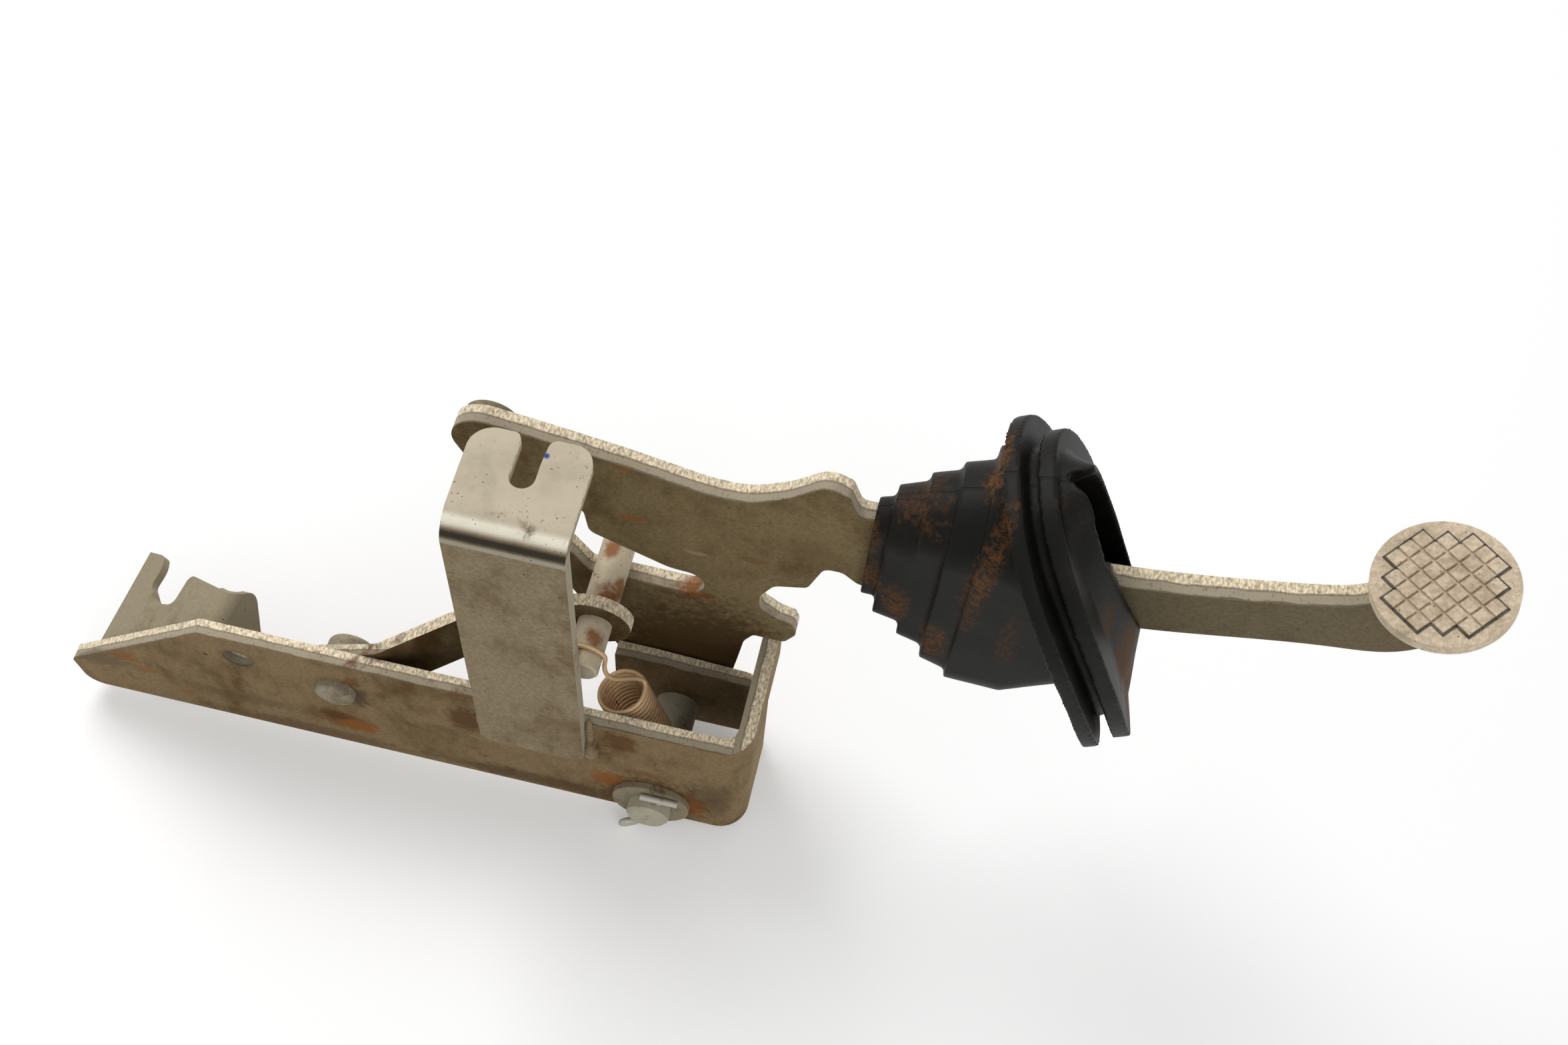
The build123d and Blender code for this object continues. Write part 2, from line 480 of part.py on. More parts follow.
def bowed_band(start, thickness):
    """Sheet across the boot, bowed so that its middle stands ahead of its ends."""
    frame = leaning_plane()
    side = Plane(origin=frame.origin, x_dir=frame.z_dir, z_dir=-frame.x_dir)
    reach = FLANGE_1_HALF_H + 15
    sag = FLANGE_BOW * (reach / FLANGE_1_HALF_H) ** 2
    near = [(start - sag, -reach), (start, 0), (start - sag, reach)]
    far = [(a + thickness, b) for a, b in near]
    edges = [ThreePointArc(*near), Line(near[2], far[2]), ThreePointArc(*reversed(far)),
             Line(far[0], near[0])]
    return extrude(side * make_face(Wire(edges)), FLANGE_1_HALF_W + 20, both=True)


def boot_step(sections):
    """One step, drawn a little into the next."""
    x, radius, below, above = sections[-1]
    faces = [upright(*section) for section in sections]
    return loft(faces + [upright(x + STEP_LAP, radius, below, above)], ruled=True)


def floor_boot():
    """Stepped sleeve, body, two bowed flanges with a groove between, and a hood."""
    boot = boot_step(COLLAR) + boot_step(STEP_1) + boot_step(STEP_2) + boot_step(STEP_3)
    body = loft([upright(*section) for section in BODY], ruled=True)
    lap = FLANGE_1_T - FLANGE_BOW
    boot += body - extrude(leaning_plane(lap) * Rectangle(400, 400), 100)
    outline = oval(FLANGE_1_HALF_W, FLANGE_1_HALF_H, leaning_plane())
    boot += bowed_band(0, FLANGE_1_T) & extrude(outline, 40, both=True)
    second = FLANGE_1_T + GROOVE_W
    core = oval(FLANGE_2_HALF_W - GROOVE_DEPTH, FLANGE_2_HALF_H - GROOVE_DEPTH,
                leaning_plane(lap - 0.3, FLANGE_2_UP / 2))
    boot += extrude(core, second - lap + 1.2)
    outline = oval(FLANGE_2_HALF_W, FLANGE_2_HALF_H, leaning_plane(0, FLANGE_2_UP))
    boot += bowed_band(second, FLANGE_2_T) & extrude(outline, 60, both=True)
    hood_foot = leaning_plane(second + FLANGE_2_T - FLANGE_BOW, HOOD_FOOT_UP)
    boot += loft([oval(HOOD_FOOT_HALF_W, HOOD_FOOT_HALF_H, hood_foot),
                  oval(HOOD_END_HALF_W, HOOD_END_HALF_H,
                       leaning_plane(MOUTH_AHEAD, MOUTH_UP, MOUTH_SIDE))], ruled=True)
    entry = leaning_plane(lap, THROAT_UP) * SlotOverall(2 * THROAT_HALF_H, 2 * THROAT_HALF_W,
                                                        rotation=90)
    hollow = loft([upright(*section) for section in HOLLOW] + [entry], ruled=True)
    throat = [oval(THROAT_HALF_W, THROAT_HALF_H, leaning_plane(ahead, THROAT_UP))
              for ahead in (lap - 1, second)]
    mouth = oval(HOOD_END_HALF_W - HOOD_WALL, HOOD_END_HALF_H - HOOD_WALL,
                 leaning_plane(MOUTH_AHEAD + 1, MOUTH_UP, MOUTH_SIDE))
    hollow += loft(throat + [mouth], ruled=True)
    return boot - hollow - lever_plate() - pedal_bar()


PARTS = {
    "bracket_channel": bracket_channel,
    "front_cable_stay": front_cable_stay,
    "front_stay_weld_left": left_weld,
    "front_stay_weld_right": right_weld,
    "left_cable_stay": left_cable_stay,
    "arm_pivot_rivet": arm_pivot_rivet,
    "link_arm": link_arm,
    "eye_pin": eye_pin,
    "eye_pin_weld": eye_pin_weld,
    "return_spring": return_spring,
    "lever_plate": lever_plate,
    "cable_end_boss": cable_end_boss,
    "pivot_shaft": pivot_shaft,
    "washer": washer,
    "split_pin": split_pin,
    "pedal_bar": pedal_bar,
    "pedal_pad": pedal_pad,
    "floor_boot": floor_boot,
}

os.makedirs("parts", exist_ok=True)
for name, make in PARTS.items():
    shape = Pos(-BOLT_X, 0, -BOLT_Z) * make()
    export_step(shape, f"parts/{name}.step")
    box = shape.bounding_box()
    print(name, len(shape.solids()), [round(v, 1) for v in (*box.min, *box.max)])
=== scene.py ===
import logging
import math
from dataclasses import dataclass
from enum import Enum
from typing import Sequence, Union

import bmesh
import bpy
import numpy as np
from mathutils import Matrix, Vector, noise


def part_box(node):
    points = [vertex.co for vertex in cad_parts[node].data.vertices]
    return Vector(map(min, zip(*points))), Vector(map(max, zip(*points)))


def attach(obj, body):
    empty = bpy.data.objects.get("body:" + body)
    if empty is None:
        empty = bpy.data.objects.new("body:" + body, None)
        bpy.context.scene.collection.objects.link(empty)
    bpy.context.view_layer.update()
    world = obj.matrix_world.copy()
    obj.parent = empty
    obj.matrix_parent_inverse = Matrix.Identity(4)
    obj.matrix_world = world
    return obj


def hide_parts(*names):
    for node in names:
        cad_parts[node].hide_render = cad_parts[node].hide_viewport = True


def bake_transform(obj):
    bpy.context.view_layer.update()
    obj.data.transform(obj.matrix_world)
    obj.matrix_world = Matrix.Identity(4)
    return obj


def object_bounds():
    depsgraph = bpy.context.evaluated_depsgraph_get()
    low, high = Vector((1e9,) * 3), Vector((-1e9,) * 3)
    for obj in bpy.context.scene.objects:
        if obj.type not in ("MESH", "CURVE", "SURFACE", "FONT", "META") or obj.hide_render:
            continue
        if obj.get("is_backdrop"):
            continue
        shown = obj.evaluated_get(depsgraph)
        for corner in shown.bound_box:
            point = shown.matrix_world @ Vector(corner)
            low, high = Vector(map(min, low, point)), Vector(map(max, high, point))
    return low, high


# Differential lock pedal: a folded bracket with two cable stays, a lever plate that swings
# on its pivot shaft, a link arm with a return spring, and a pedal bar through a rubber boot.
# Metres, +Z up, +X towards the pad. The origin is the mouth of the bracket's bolt hole.

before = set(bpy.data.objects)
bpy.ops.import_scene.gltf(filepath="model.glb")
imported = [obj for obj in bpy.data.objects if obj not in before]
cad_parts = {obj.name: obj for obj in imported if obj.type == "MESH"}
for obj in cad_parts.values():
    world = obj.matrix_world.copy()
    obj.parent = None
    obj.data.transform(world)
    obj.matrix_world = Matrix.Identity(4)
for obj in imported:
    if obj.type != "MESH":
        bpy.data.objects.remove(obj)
CAD_BOX = [list(corner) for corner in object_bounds()]

LOG = logging.getLogger("pedal")
MM = 0.001
NEAR_FACE = 47.5  # mm from the bolt hole to the near face of the lever plate and the bar

Colour = tuple[float, float, float]
Place = tuple[float, float, float]
Socket = bpy.types.NodeSocket
Input = Union[Socket, float, Sequence[float]]
Label = Union[int, str]
Node = bpy.types.Node
Material = bpy.types.Material
Mesh = bpy.types.Mesh
Piece = bpy.types.Object


def mm(*sizes: float) -> tuple[float, ...]:
    """Turns millimetres into metres."""
    return tuple(size * MM for size in sizes)


class Kind(Enum):
    """What a socket of a node group carries."""

    NUMBER = "NodeSocketFloat"
    COLOUR = "NodeSocketColor"
    VECTOR = "NodeSocketVector"


class EdgeRule(Enum):
    """Where a piece shows the bare band that shearing leaves."""

    NONE = "none"
    PLATE = "plate across Y"
    CHANNEL = "two walls and a web"
    ANGLE = "upright strip with a bent top"


class Bench:
    """Adds shader nodes to one tree and joins them."""

    def __init__(self, tree: bpy.types.NodeTree) -> None:
        """Keeps the node tree that gets the nodes."""
        self.tree = tree

    def node(self, kind: str, **settings: object) -> Node:
        """Adds a node.

        Args:
            kind: Blender's name for the node's type.
            settings: properties to set on it.
        Returns:
            The new node.
        """
        made = self.tree.nodes.new(kind)
        for name, value in settings.items():
            setattr(made, name, value)
        return made

    def put(self, socket: Socket, value: Input) -> None:
        """Feeds an input socket.

        Args:
            socket: the input.
            value: another node's output, or a plain value.
        """
        if isinstance(value, bpy.types.NodeSocket):
            self.tree.links.new(value, socket)
        elif socket.type == "RGBA" and len(value) == 3:
            socket.default_value = (*value, 1.0)
        else:
            socket.default_value = value

    def work(self, kind: str, result: Label, given: dict[Label, Input],
             **settings: object) -> Socket:
        """Adds a node that works something out.

        Args:
            kind: Blender's name for the node's type.
            result: the output that is wanted.
            given: the inputs to feed.
            settings: properties to set on the node.
        Returns:
            The output.
        """
        made = self.node(kind, **settings)
        for name, value in given.items():
            self.put(made.inputs[name], value)
        return made.outputs[result]

    def math(self, how: str, first: Input, second: Input = 0.0) -> Socket:
        """Gives the result of an operation on two numbers."""
        return self.work("ShaderNodeMath", 0, {0: first, 1: second}, operation=how)

    def times(self, first: Input, second: Input) -> Socket:
        """Gives the product of two numbers."""
        return self.math("MULTIPLY", first, second)

    def plus(self, first: Input, second: Input) -> Socket:
        """Gives the sum of two numbers."""
        return self.math("ADD", first, second)

    def vector_math(self, how: str, first: Input, second: Input) -> Socket:
        """Gives the vector that an operation makes of two vectors."""
        return self.work("ShaderNodeVectorMath", "Vector", {0: first, 1: second}, operation=how)

    def length(self, vector: Input) -> Socket:
        """Gives a vector's length."""
        return self.work("ShaderNodeVectorMath", "Value", {0: vector}, operation="LENGTH")

    def mix(self, share: Input, first: Input, second: Input) -> Socket:
        """Gives a mix of two colours, the first at share 0 and the second at share 1."""
        given = {"Factor": share, 6: first, 7: second}
        return self.work("ShaderNodeMix", 2, given, data_type="RGBA")

    def blend_numbers(self, share: Input, first: Input, second: Input) -> Socket:
        """Gives a mix of two numbers, the first at share 0 and the second at share 1."""
        given = {"Factor": share, 2: first, 3: second}
        return self.work("ShaderNodeMix", 0, given, data_type="FLOAT")

    def split(self, vector: Input) -> tuple[Socket, Socket, Socket]:
        """Takes a vector apart.

        Args:
            vector: the vector.
        Returns:
            Its X, Y and Z.
        """
        made = self.node("ShaderNodeSeparateXYZ")
        self.put(made.inputs[0], vector)
        return made.outputs[0], made.outputs[1], made.outputs[2]

    def rise(self, value: Input, low: float, high: float) -> Socket:
        """Gives a mask that goes smoothly from 0 at low to 1 at high.

        Args:
            value: the number that is compared.
            low: where the mask is 0.
            high: where the mask is 1; it may be under low.
        Returns:
            The mask.
        """
        climbs = float(high > low)
        given = {"Value": value, "From Min": min(low, high), "From Max": max(low, high),
                 "To Min": 1.0 - climbs, "To Max": climbs}
        return self.work("ShaderNodeMapRange", "Result", given, interpolation_type="SMOOTHSTEP")

    def noise(self, place: Input, scale: Input, detail: float = 3.0, rough: float = 0.55,
              warp: float = 0.0) -> Socket:
        """Gives cloudy noise round 0.5.

        Args:
            place: the coordinates.
            scale: how many clouds there are to a metre.
            detail: how many finer layers it has.
            rough: how strong the finer layers are.
            warp: how far the clouds are drawn out of shape.
        Returns:
            The noise's value.
        """
        given = {"Vector": place, "Scale": scale, "Detail": detail, "Roughness": rough,
                 "Distortion": warp}
        return self.work("ShaderNodeTexNoise", "Fac", given)

    def group(self, effect: bpy.types.NodeTree, **values: Input) -> Node:
        """Places a node group.

        Args:
            effect: the group's tree.
            values: its inputs, with _ for each space in their names.
        Returns:
            The group's node.
        """
        made = self.node("ShaderNodeGroup", node_tree=effect)
        for name, value in values.items():
            self.put(made.inputs[name.replace("_", " ")], value)
        return made


def numbers(*labels: str) -> dict[str, Kind]:
    """Gives sockets that all carry a number."""
    return dict.fromkeys(labels, Kind.NUMBER)


class Effect:
    """A shader node group that several materials use, with the surface's place as an input."""

    built: dict[str, bpy.types.NodeTree] = {}

    def __init__(self, name: str, inputs: dict[str, Kind], outputs: dict[str, Kind]) -> None:
        """Makes the group and its sockets.

        Args:
            name: the group's name.
            inputs: the name and kind of each input besides Position.
            outputs: the name and kind of each output.
        """
        self.tree = bpy.data.node_groups.new(name, "ShaderNodeTree")
        for label, kind in {"Position": Kind.VECTOR, **inputs}.items():
            self.tree.interface.new_socket(label, in_out="INPUT", socket_type=kind.value)
        for label, kind in outputs.items():
            self.tree.interface.new_socket(label, in_out="OUTPUT", socket_type=kind.value)
        self.bench = Bench(self.tree)
        self.source = self.bench.node("NodeGroupInput").outputs
        self.place = self.source["Position"]
        self.result = self.bench.node("NodeGroupOutput").inputs
        Effect.built[name] = self.tree

    def give(self, **outputs: Input) -> None:
        """Joins results to the group's outputs, with _ for each space in their names."""
        for name, value in outputs.items():
            self.bench.put(self.result[name.replace("_", " ")], value)


def make_cut_edge() -> None:
    """Group: the two-toned band on a plate's sheared edge, by its place across the plate."""
    effect = Effect("Cut Edge", numbers("Across", "Face"),
                    numbers("Edge", "Rough Band", "Parting", "Front Line"))
    bench, source = effect.bench, effect.source
    waves, wander, before_front = 120.0, 0.22, -0.1
    wave = bench.noise(effect.place, waves)
    ragged = bench.times(bench.math("SUBTRACT", wave, 0.5), wander)
    shifted = bench.plus(source["Across"], ragged)
    parting = bench.times(bench.rise(shifted, 0.44, 0.49), bench.rise(shifted, 0.60, 0.52))
    front = bench.times(bench.rise(shifted, 0.13, 0.04),
                        bench.math("GREATER_THAN", source["Across"], before_front))
    effect.give(Edge=bench.rise(source["Face"], 0.75, 0.4),
                Rough_Band=bench.rise(shifted, 0.46, 0.54),
                Parting=parting, Front_Line=front)


def make_stain() -> None:
    """Group: broad brown stains, a fine mottle and small dark specks of old plating."""
    effect = Effect("Old Plating", numbers("Scale", "Amount"), numbers("Stain", "Speck", "Mottle"))
    bench, source = effect.bench, effect.source
    upright, finer, broad, strength = (1.0, 1.0, 0.45), 6.0, 0.7, 0.25
    grit_scale, mottle_scale = 900.0, 650.0
    cloud = bench.noise(effect.place, source["Scale"], detail=6.0, rough=0.62, warp=0.4)
    stretched = bench.vector_math("MULTIPLY", effect.place, upright)
    fine = bench.noise(stretched, bench.times(source["Scale"], finer), detail=4.0, rough=0.6)
    both = bench.plus(bench.times(cloud, broad), bench.times(fine, 1.0 - broad))
    level = bench.plus(both, bench.times(source["Amount"], strength))
    grit = bench.noise(effect.place, grit_scale, detail=2.0, rough=0.5)
    mottle = bench.noise(effect.place, mottle_scale, detail=4.0, rough=0.7)
    effect.give(Stain=bench.rise(level, 0.44, 0.74), Speck=bench.rise(grit, 0.68, 0.75),
                Mottle=bench.rise(mottle, 0.36, 0.64))


def make_rust() -> None:
    """Group: rust that breaks out in ragged patches with orange hearts."""
    effect = Effect("Rust", numbers("Scale", "Amount"),
                    {"Mask": Kind.NUMBER, "Colour": Kind.COLOUR, "Height": Kind.NUMBER})
    bench, source = effect.bench, effect.source
    brown_rim, orange_heart = (0.125, 0.056, 0.018), (0.34, 0.120, 0.024)
    strength, crumb_scale = 0.3, 1400.0
    patch = bench.noise(effect.place, source["Scale"], detail=8.0, rough=0.68, warp=0.6)
    level = bench.plus(patch, bench.times(source["Amount"], strength))
    crumbs = bench.noise(effect.place, crumb_scale, detail=2.0)
    colour = bench.mix(bench.rise(level, 0.66, 0.78), brown_rim, orange_heart)
    effect.give(Mask=bench.rise(level, 0.585, 0.72), Colour=colour, Height=crumbs)


def make_spot() -> None:
    """Group: one ragged spot round a point of the surface."""
    effect = Effect("Spot", {"Centre": Kind.VECTOR, "Reach": Kind.VECTOR, "Ragged": Kind.NUMBER},
                    numbers("Mask"))
    bench, source = effect.bench, effect.source
    waves = 330.0
    away = bench.vector_math("SUBTRACT", effect.place, source["Centre"])
    scaled = bench.vector_math("DIVIDE", away, source["Reach"])
    wave = bench.noise(effect.place, waves, detail=4.0, rough=0.65)
    bumps = bench.times(bench.math("SUBTRACT", wave, 0.5), source["Ragged"])
    effect.give(Mask=bench.rise(bench.plus(bench.length(scaled), bumps), 1.20, 0.45))


def make_dust() -> None:
    """Group: dry brown dust that lies in cloudy patches and on faces that look up."""
    effect = Effect("Dust", numbers("Upward", "Amount"), numbers("Mask"))
    bench, source = effect.bench, effect.source
    cloud_scale, grit_scale, broad, settling, strength = 60.0, 520.0, 0.6, 0.08, 0.3
    cloud = bench.noise(effect.place, cloud_scale, detail=6.0, rough=0.7, warp=0.3)
    grit = bench.noise(effect.place, grit_scale, rough=0.7)
    both = bench.plus(bench.times(cloud, broad), bench.times(grit, 1.0 - broad))
    level = bench.plus(bench.plus(both, bench.times(source["Upward"], settling)),
                       bench.times(source["Amount"], strength))
    effect.give(Mask=bench.rise(level, 0.60, 0.86))


@dataclass(frozen=True)
class Spot:
    """A mark at one place of a surface, such as a rust bloom or a stain."""

    place: Place
    reach: Place
    colour: Colour
    strength: float = 0.9
    ragged: float = 1.7

    def mask(self, bench: Bench, place: Socket) -> Socket:
        """Gives the mark's mask at a point of the surface."""
        return bench.group(Effect.built["Spot"], Position=place, Centre=self.place,
                           Reach=self.reach, Ragged=self.ragged).outputs["Mask"]


RUST_ORANGE: Colour = (0.26, 0.092, 0.018)
RUST_BROWN: Colour = (0.100, 0.045, 0.014)
WHITE: Colour = (1.0, 1.0, 1.0)
STAIN_BLACK: Colour = (0.035, 0.026, 0.016)
BLUE_DOT: Colour = (0.01, 0.06, 0.30)
SPECK_BROWN: Colour = (0.05, 0.035, 0.02)
COAT_SHINE = 0.12  # how much of a white sheen the plating and the rubber keep
OLD_PLATING_ROUGH = 0.5  # added to the roughness of every plated finish
STAIN_ROUGH = 0.16
RUST_ROUGH = 0.8
RUST_METALLIC = 0.05
BUMP_STRENGTH = 0.6


@dataclass(frozen=True)
class PlatedSteel:
    """Zinc plated steel that has yellowed, with stains, rust and bare sheared edges."""

    name: str
    face: Colour
    stained: Colour
    edge: Colour = (0.60, 0.53, 0.40)
    edge_smooth: Colour = (0.43, 0.375, 0.28)
    rust: float = 0.0
    rust_scale: float = 38.0
    stain: float = 0.0
    stain_scale: float = 26.0
    roughness: float = 0.42
    metallic: float = 0.55
    rule: EdgeRule = EdgeRule.NONE
    front: float = 0.0
    thick: float = 6.0 * MM
    mottle: float = 1.0  # how much of the fine mottle shows
    uneven: float = 0.12 * MM
    spots: tuple[Spot, ...] = ()
    lighter: Colour = (1.10, 1.10, 1.11)
    darker: Colour = (0.88, 0.87, 0.85)
    grain_scale: float = 700.0
    speck: float = 0.8
    edge_scale: float = 1300.0
    grain_stretch: Place = (1.0, 0.5, 1.0)
    glint: Colour = (1.5, 1.5, 1.55)
    pitting: float = 0.5
    pit_brown: Colour = (0.20, 0.155, 0.095)
    parting: float = 0.6
    parting_brown: Colour = (0.16, 0.12, 0.07)
    front_line: float = 0.7
    front_line_brown: Colour = (0.12, 0.085, 0.045)
    torn: float = 2.0
    wall_split: float = 20 * MM
    far_wall: float = 40.5 * MM
    web_start: float = 181.5 * MM
    web_inside: float = 181 * MM
    strip_top: float = 139.8 * MM
    strip_front: float = 12 * MM

    def build(self) -> Material:
        """Makes the material.

        Returns:
            The finished material.
        """
        material, bench, shader, place, normal = blank_material(self.name)
        plating = bench.group(Effect.built["Old Plating"], Position=place,
                              Scale=self.stain_scale, Amount=self.stain).outputs
        colour = bench.mix(plating["Stain"], self.face, self.stained)
        patchy = bench.mix(plating["Mottle"], bench.vector_math("MULTIPLY", colour, self.darker),
                           bench.vector_math("MULTIPLY", colour, self.lighter))
        colour = bench.mix(self.mottle, colour, patchy)
        rough = bench.plus(bench.times(plating["Stain"], STAIN_ROUGH),
                           self.roughness + OLD_PLATING_ROUGH)
        height = bench.noise(place, self.grain_scale, detail=4.0, rough=0.6)
        if self.rule is not EdgeRule.NONE:
            colour, height = self.bare_edge(bench, place, normal, colour, height)
        # Painted highlight and shade: the bent strip's top and bend get lighter and darker bands by
        # the way they face.
        if self.rule is EdgeRule.ANGLE:
            colour = self.paint_bend_light(bench, colour, normal)
        colour = bench.mix(bench.times(plating["Speck"], self.speck), colour, SPECK_BROWN)
        rust = bench.group(Effect.built["Rust"], Position=place, Scale=self.rust_scale,
                           Amount=self.rust).outputs
        colour = bench.mix(rust["Mask"], colour, rust["Colour"])
        covered = rust["Mask"]
        for spot in self.spots:
            mask = bench.times(spot.mask(bench, place), spot.strength)
            colour = bench.mix(mask, colour, spot.colour)
            covered = bench.math("MAXIMUM", covered, mask)
        height = bench.plus(height, bench.times(rust["Height"], covered))
        bench.put(shader.inputs["Base Color"], colour)
        bench.put(shader.inputs["Roughness"], bench.blend_numbers(covered, rough, RUST_ROUGH))
        bench.put(shader.inputs["Metallic"],
                  bench.blend_numbers(covered, self.metallic, RUST_METALLIC))
        shader.inputs["Specular IOR Level"].default_value = COAT_SHINE
        bump(bench, shader, height, self.uneven)
        return material

    def bare_edge(self, bench: Bench, place: Socket, normal: Socket, colour: Socket,
                  height: Socket) -> tuple[Socket, Socket]:
        """Lays the bare, two-toned metal over the sheared edges.

        Args:
            bench: the material's bench.
            place: the point of the surface.
            normal: the surface's direction.
            colour: the colour so far.
            height: the grain so far.
        Returns:
            The colour and the grain with the edges.
        """
        across, face, keep = self.edge_inputs(bench, place, normal)
        cut = bench.group(Effect.built["Cut Edge"], Position=place, Across=across,
                          Face=face).outputs
        edge = bench.times(cut["Edge"], keep)
        drawn = bench.vector_math("MULTIPLY", place, self.grain_stretch)
        grain = bench.noise(drawn, self.edge_scale)
        bare = bench.mix(cut["Rough Band"], self.edge_smooth, self.edge)
        sparkle = bench.times(bench.rise(grain, 0.38, 0.66), cut["Rough Band"])
        bare = bench.mix(sparkle, bare, bench.vector_math("MULTIPLY", self.edge, self.glint))
        bare = bench.mix(bench.times(bench.rise(grain, 0.42, 0.30), self.pitting), bare,
                         self.pit_brown)
        bare = bench.mix(bench.times(cut["Parting"], self.parting), bare, self.parting_brown)
        bare = bench.mix(bench.times(cut["Front Line"], self.front_line), bare,
                         self.front_line_brown)
        torn = bench.times(bench.times(grain, cut["Rough Band"]), bench.times(edge, self.torn))
        return bench.mix(edge, colour, bare), bench.plus(height, torn)

    def edge_inputs(self, bench: Bench, place: Socket,
                    normal: Socket) -> tuple[Socket, Socket, Input]:
        """Works out where the sheared edges are.

        Args:
            bench: the material's bench.
            place: the point of the surface.
            normal: the surface's direction.
        Returns:
            How far across the plate the point is, from 0 to 1; how much it faces the way
            the plate does; and a mask that keeps only real edges.
        """
        x, y, z = bench.split(place)
        nx, ny, nz = (bench.math("ABSOLUTE", part) for part in bench.split(normal))
        if self.rule is EdgeRule.PLATE:
            return self.across(bench, y, self.front), ny, 1.0
        if self.rule is EdgeRule.CHANNEL:
            far = bench.math("GREATER_THAN", y, self.wall_split)
            start = bench.times(far, self.far_wall)
            web = bench.math("GREATER_THAN", x, self.web_start)
            keep = bench.math("MAXIMUM", bench.rise(nz, 0.25, 0.4), bench.math("LESS_THAN", x, 0.0))
            share = bench.blend_numbers(web, self.across(bench, y, start),
                                        self.across(bench, x, self.web_inside))
            return share, ny, keep
        top = bench.math("GREATER_THAN", z, self.strip_top)
        tip = bench.times(top, bench.math("GREATER_THAN", y, self.strip_front))
        level = bench.times(bench.math("SUBTRACT", 1.0, nz), tip)
        side = bench.math("MAXIMUM", nx, level)
        return self.across(bench, z, self.front), bench.math("SUBTRACT", 1.0, side), 1.0

    def paint_bend_light(self, bench: Bench, colour: Socket, normal: Socket) -> Socket:
        """Paints highlight and shade by the surface's direction: a lighter top, a bright highlight
        band on the outside of the bend, a dark reflection band below it and a paler band lower down.

        Args:
            bench: the material's bench.
            colour: the colour so far.
            normal: the surface's direction.
        Returns:
            The colour with the bend's bands.
        """
        # painted highlight and shade colours for the strip's top and its bend
        lit_top_colour, painted_highlight = (0.60, 0.54, 0.43), (0.80, 0.77, 0.66)
        painted_dark_reflection, painted_low_highlight, lit_top_share = (0.060, 0.052, 0.040), (0.42, 0.39, 0.31), 0.85
        side, _, up = bench.split(normal)
        front = bench.rise(bench.math("ABSOLUTE", side), 0.6, 0.3)
        top = bench.times(bench.rise(up, 0.55, 0.80), front)
        colour = bench.mix(bench.times(top, lit_top_share), colour, lit_top_colour)
        bright = bench.times(bench.rise(up, 0.62, 0.80), bench.rise(up, 0.97, 0.86))
        colour = bench.mix(bench.times(bright, front), colour, painted_highlight)
        dark = bench.times(bench.rise(up, 0.22, 0.40), bench.rise(up, 0.66, 0.50))
        colour = bench.mix(bench.times(dark, front), colour, painted_dark_reflection)
        low = bench.times(bench.rise(up, 0.02, 0.10), bench.rise(up, 0.30, 0.18))
        return bench.mix(bench.times(low, front), colour, painted_low_highlight)

    def across(self, bench: Bench, along: Socket, start: Input) -> Socket:
        """Gives the share of the plate's thickness that lies in front of a point."""
        return bench.math("DIVIDE", bench.math("SUBTRACT", along, start), self.thick)


@dataclass(frozen=True)
class Rubber:
    """Matt black rubber with dry brown dust in its folds and along its rims."""

    name: str
    base: Colour = (0.0045, 0.0043, 0.0033)
    worn: Colour = (0.013, 0.012, 0.0095)
    dust: Colour = (0.115, 0.058, 0.024)
    spots: tuple[Spot, ...] = ()
    seam_y: float = 51.4 * MM
    seam_reach: float = 0.55 * MM
    seam_core: float = 0.2 * MM
    seam_black: Colour = (0.002, 0.002, 0.002)
    seam_share: float = 0.85
    seam_depth: float = 3.0
    dust_share: float = 0.55
    roughness: float = 0.50
    dusty_roughness: float = 0.9
    cloud_scale: float = 45.0
    grit_scale: float = 600.0
    grain_scale: float = 900.0
    dent_scale: float = 120.0
    dent: float = 1.5
    uneven: float = 0.10 * MM

    def build(self) -> Material:
        """Makes the material.

        Returns:
            The finished material.
        """
        material, bench, shader, place, normal = blank_material(self.name)
        y, up = bench.split(place)[1], bench.split(normal)[2]
        cloud = bench.noise(place, self.cloud_scale, detail=6.0, rough=0.6)
        colour = bench.mix(bench.rise(cloud, 0.45, 0.8), self.base, self.worn)
        away = bench.math("ABSOLUTE", bench.math("SUBTRACT", y, self.seam_y))
        seam = bench.rise(away, self.seam_reach, self.seam_core)
        seam = bench.times(seam, bench.rise(up, 0.1, 0.35))
        colour = bench.mix(bench.times(seam, self.seam_share), colour, self.seam_black)
        mask = bench.group(Effect.built["Dust"], Position=place, Upward=up,
                           Amount=0.0).outputs["Mask"]
        mask = bench.times(mask, self.dust_share)
        colour = bench.mix(mask, colour, self.dust)
        grit = bench.noise(place, self.grit_scale, detail=4.0, rough=0.7)
        grit = bench.rise(grit, 0.36, 0.62)
        for spot in self.spots:
            mark = bench.times(bench.times(spot.mask(bench, place), grit), spot.strength)
            colour = bench.mix(mark, colour, spot.colour)
            mask = bench.math("MAXIMUM", mask, mark)
        dents = bench.times(bench.noise(place, self.dent_scale), self.dent)
        height = bench.plus(bench.noise(place, self.grain_scale), dents)
        height = bench.math("SUBTRACT", height, bench.times(seam, self.seam_depth))
        bench.put(shader.inputs["Base Color"], colour)
        bench.put(shader.inputs["Roughness"],
                  bench.blend_numbers(mask, self.roughness, self.dusty_roughness))
        shader.inputs["Specular IOR Level"].default_value = COAT_SHINE
        bump(bench, shader, height, self.uneven)
        return material


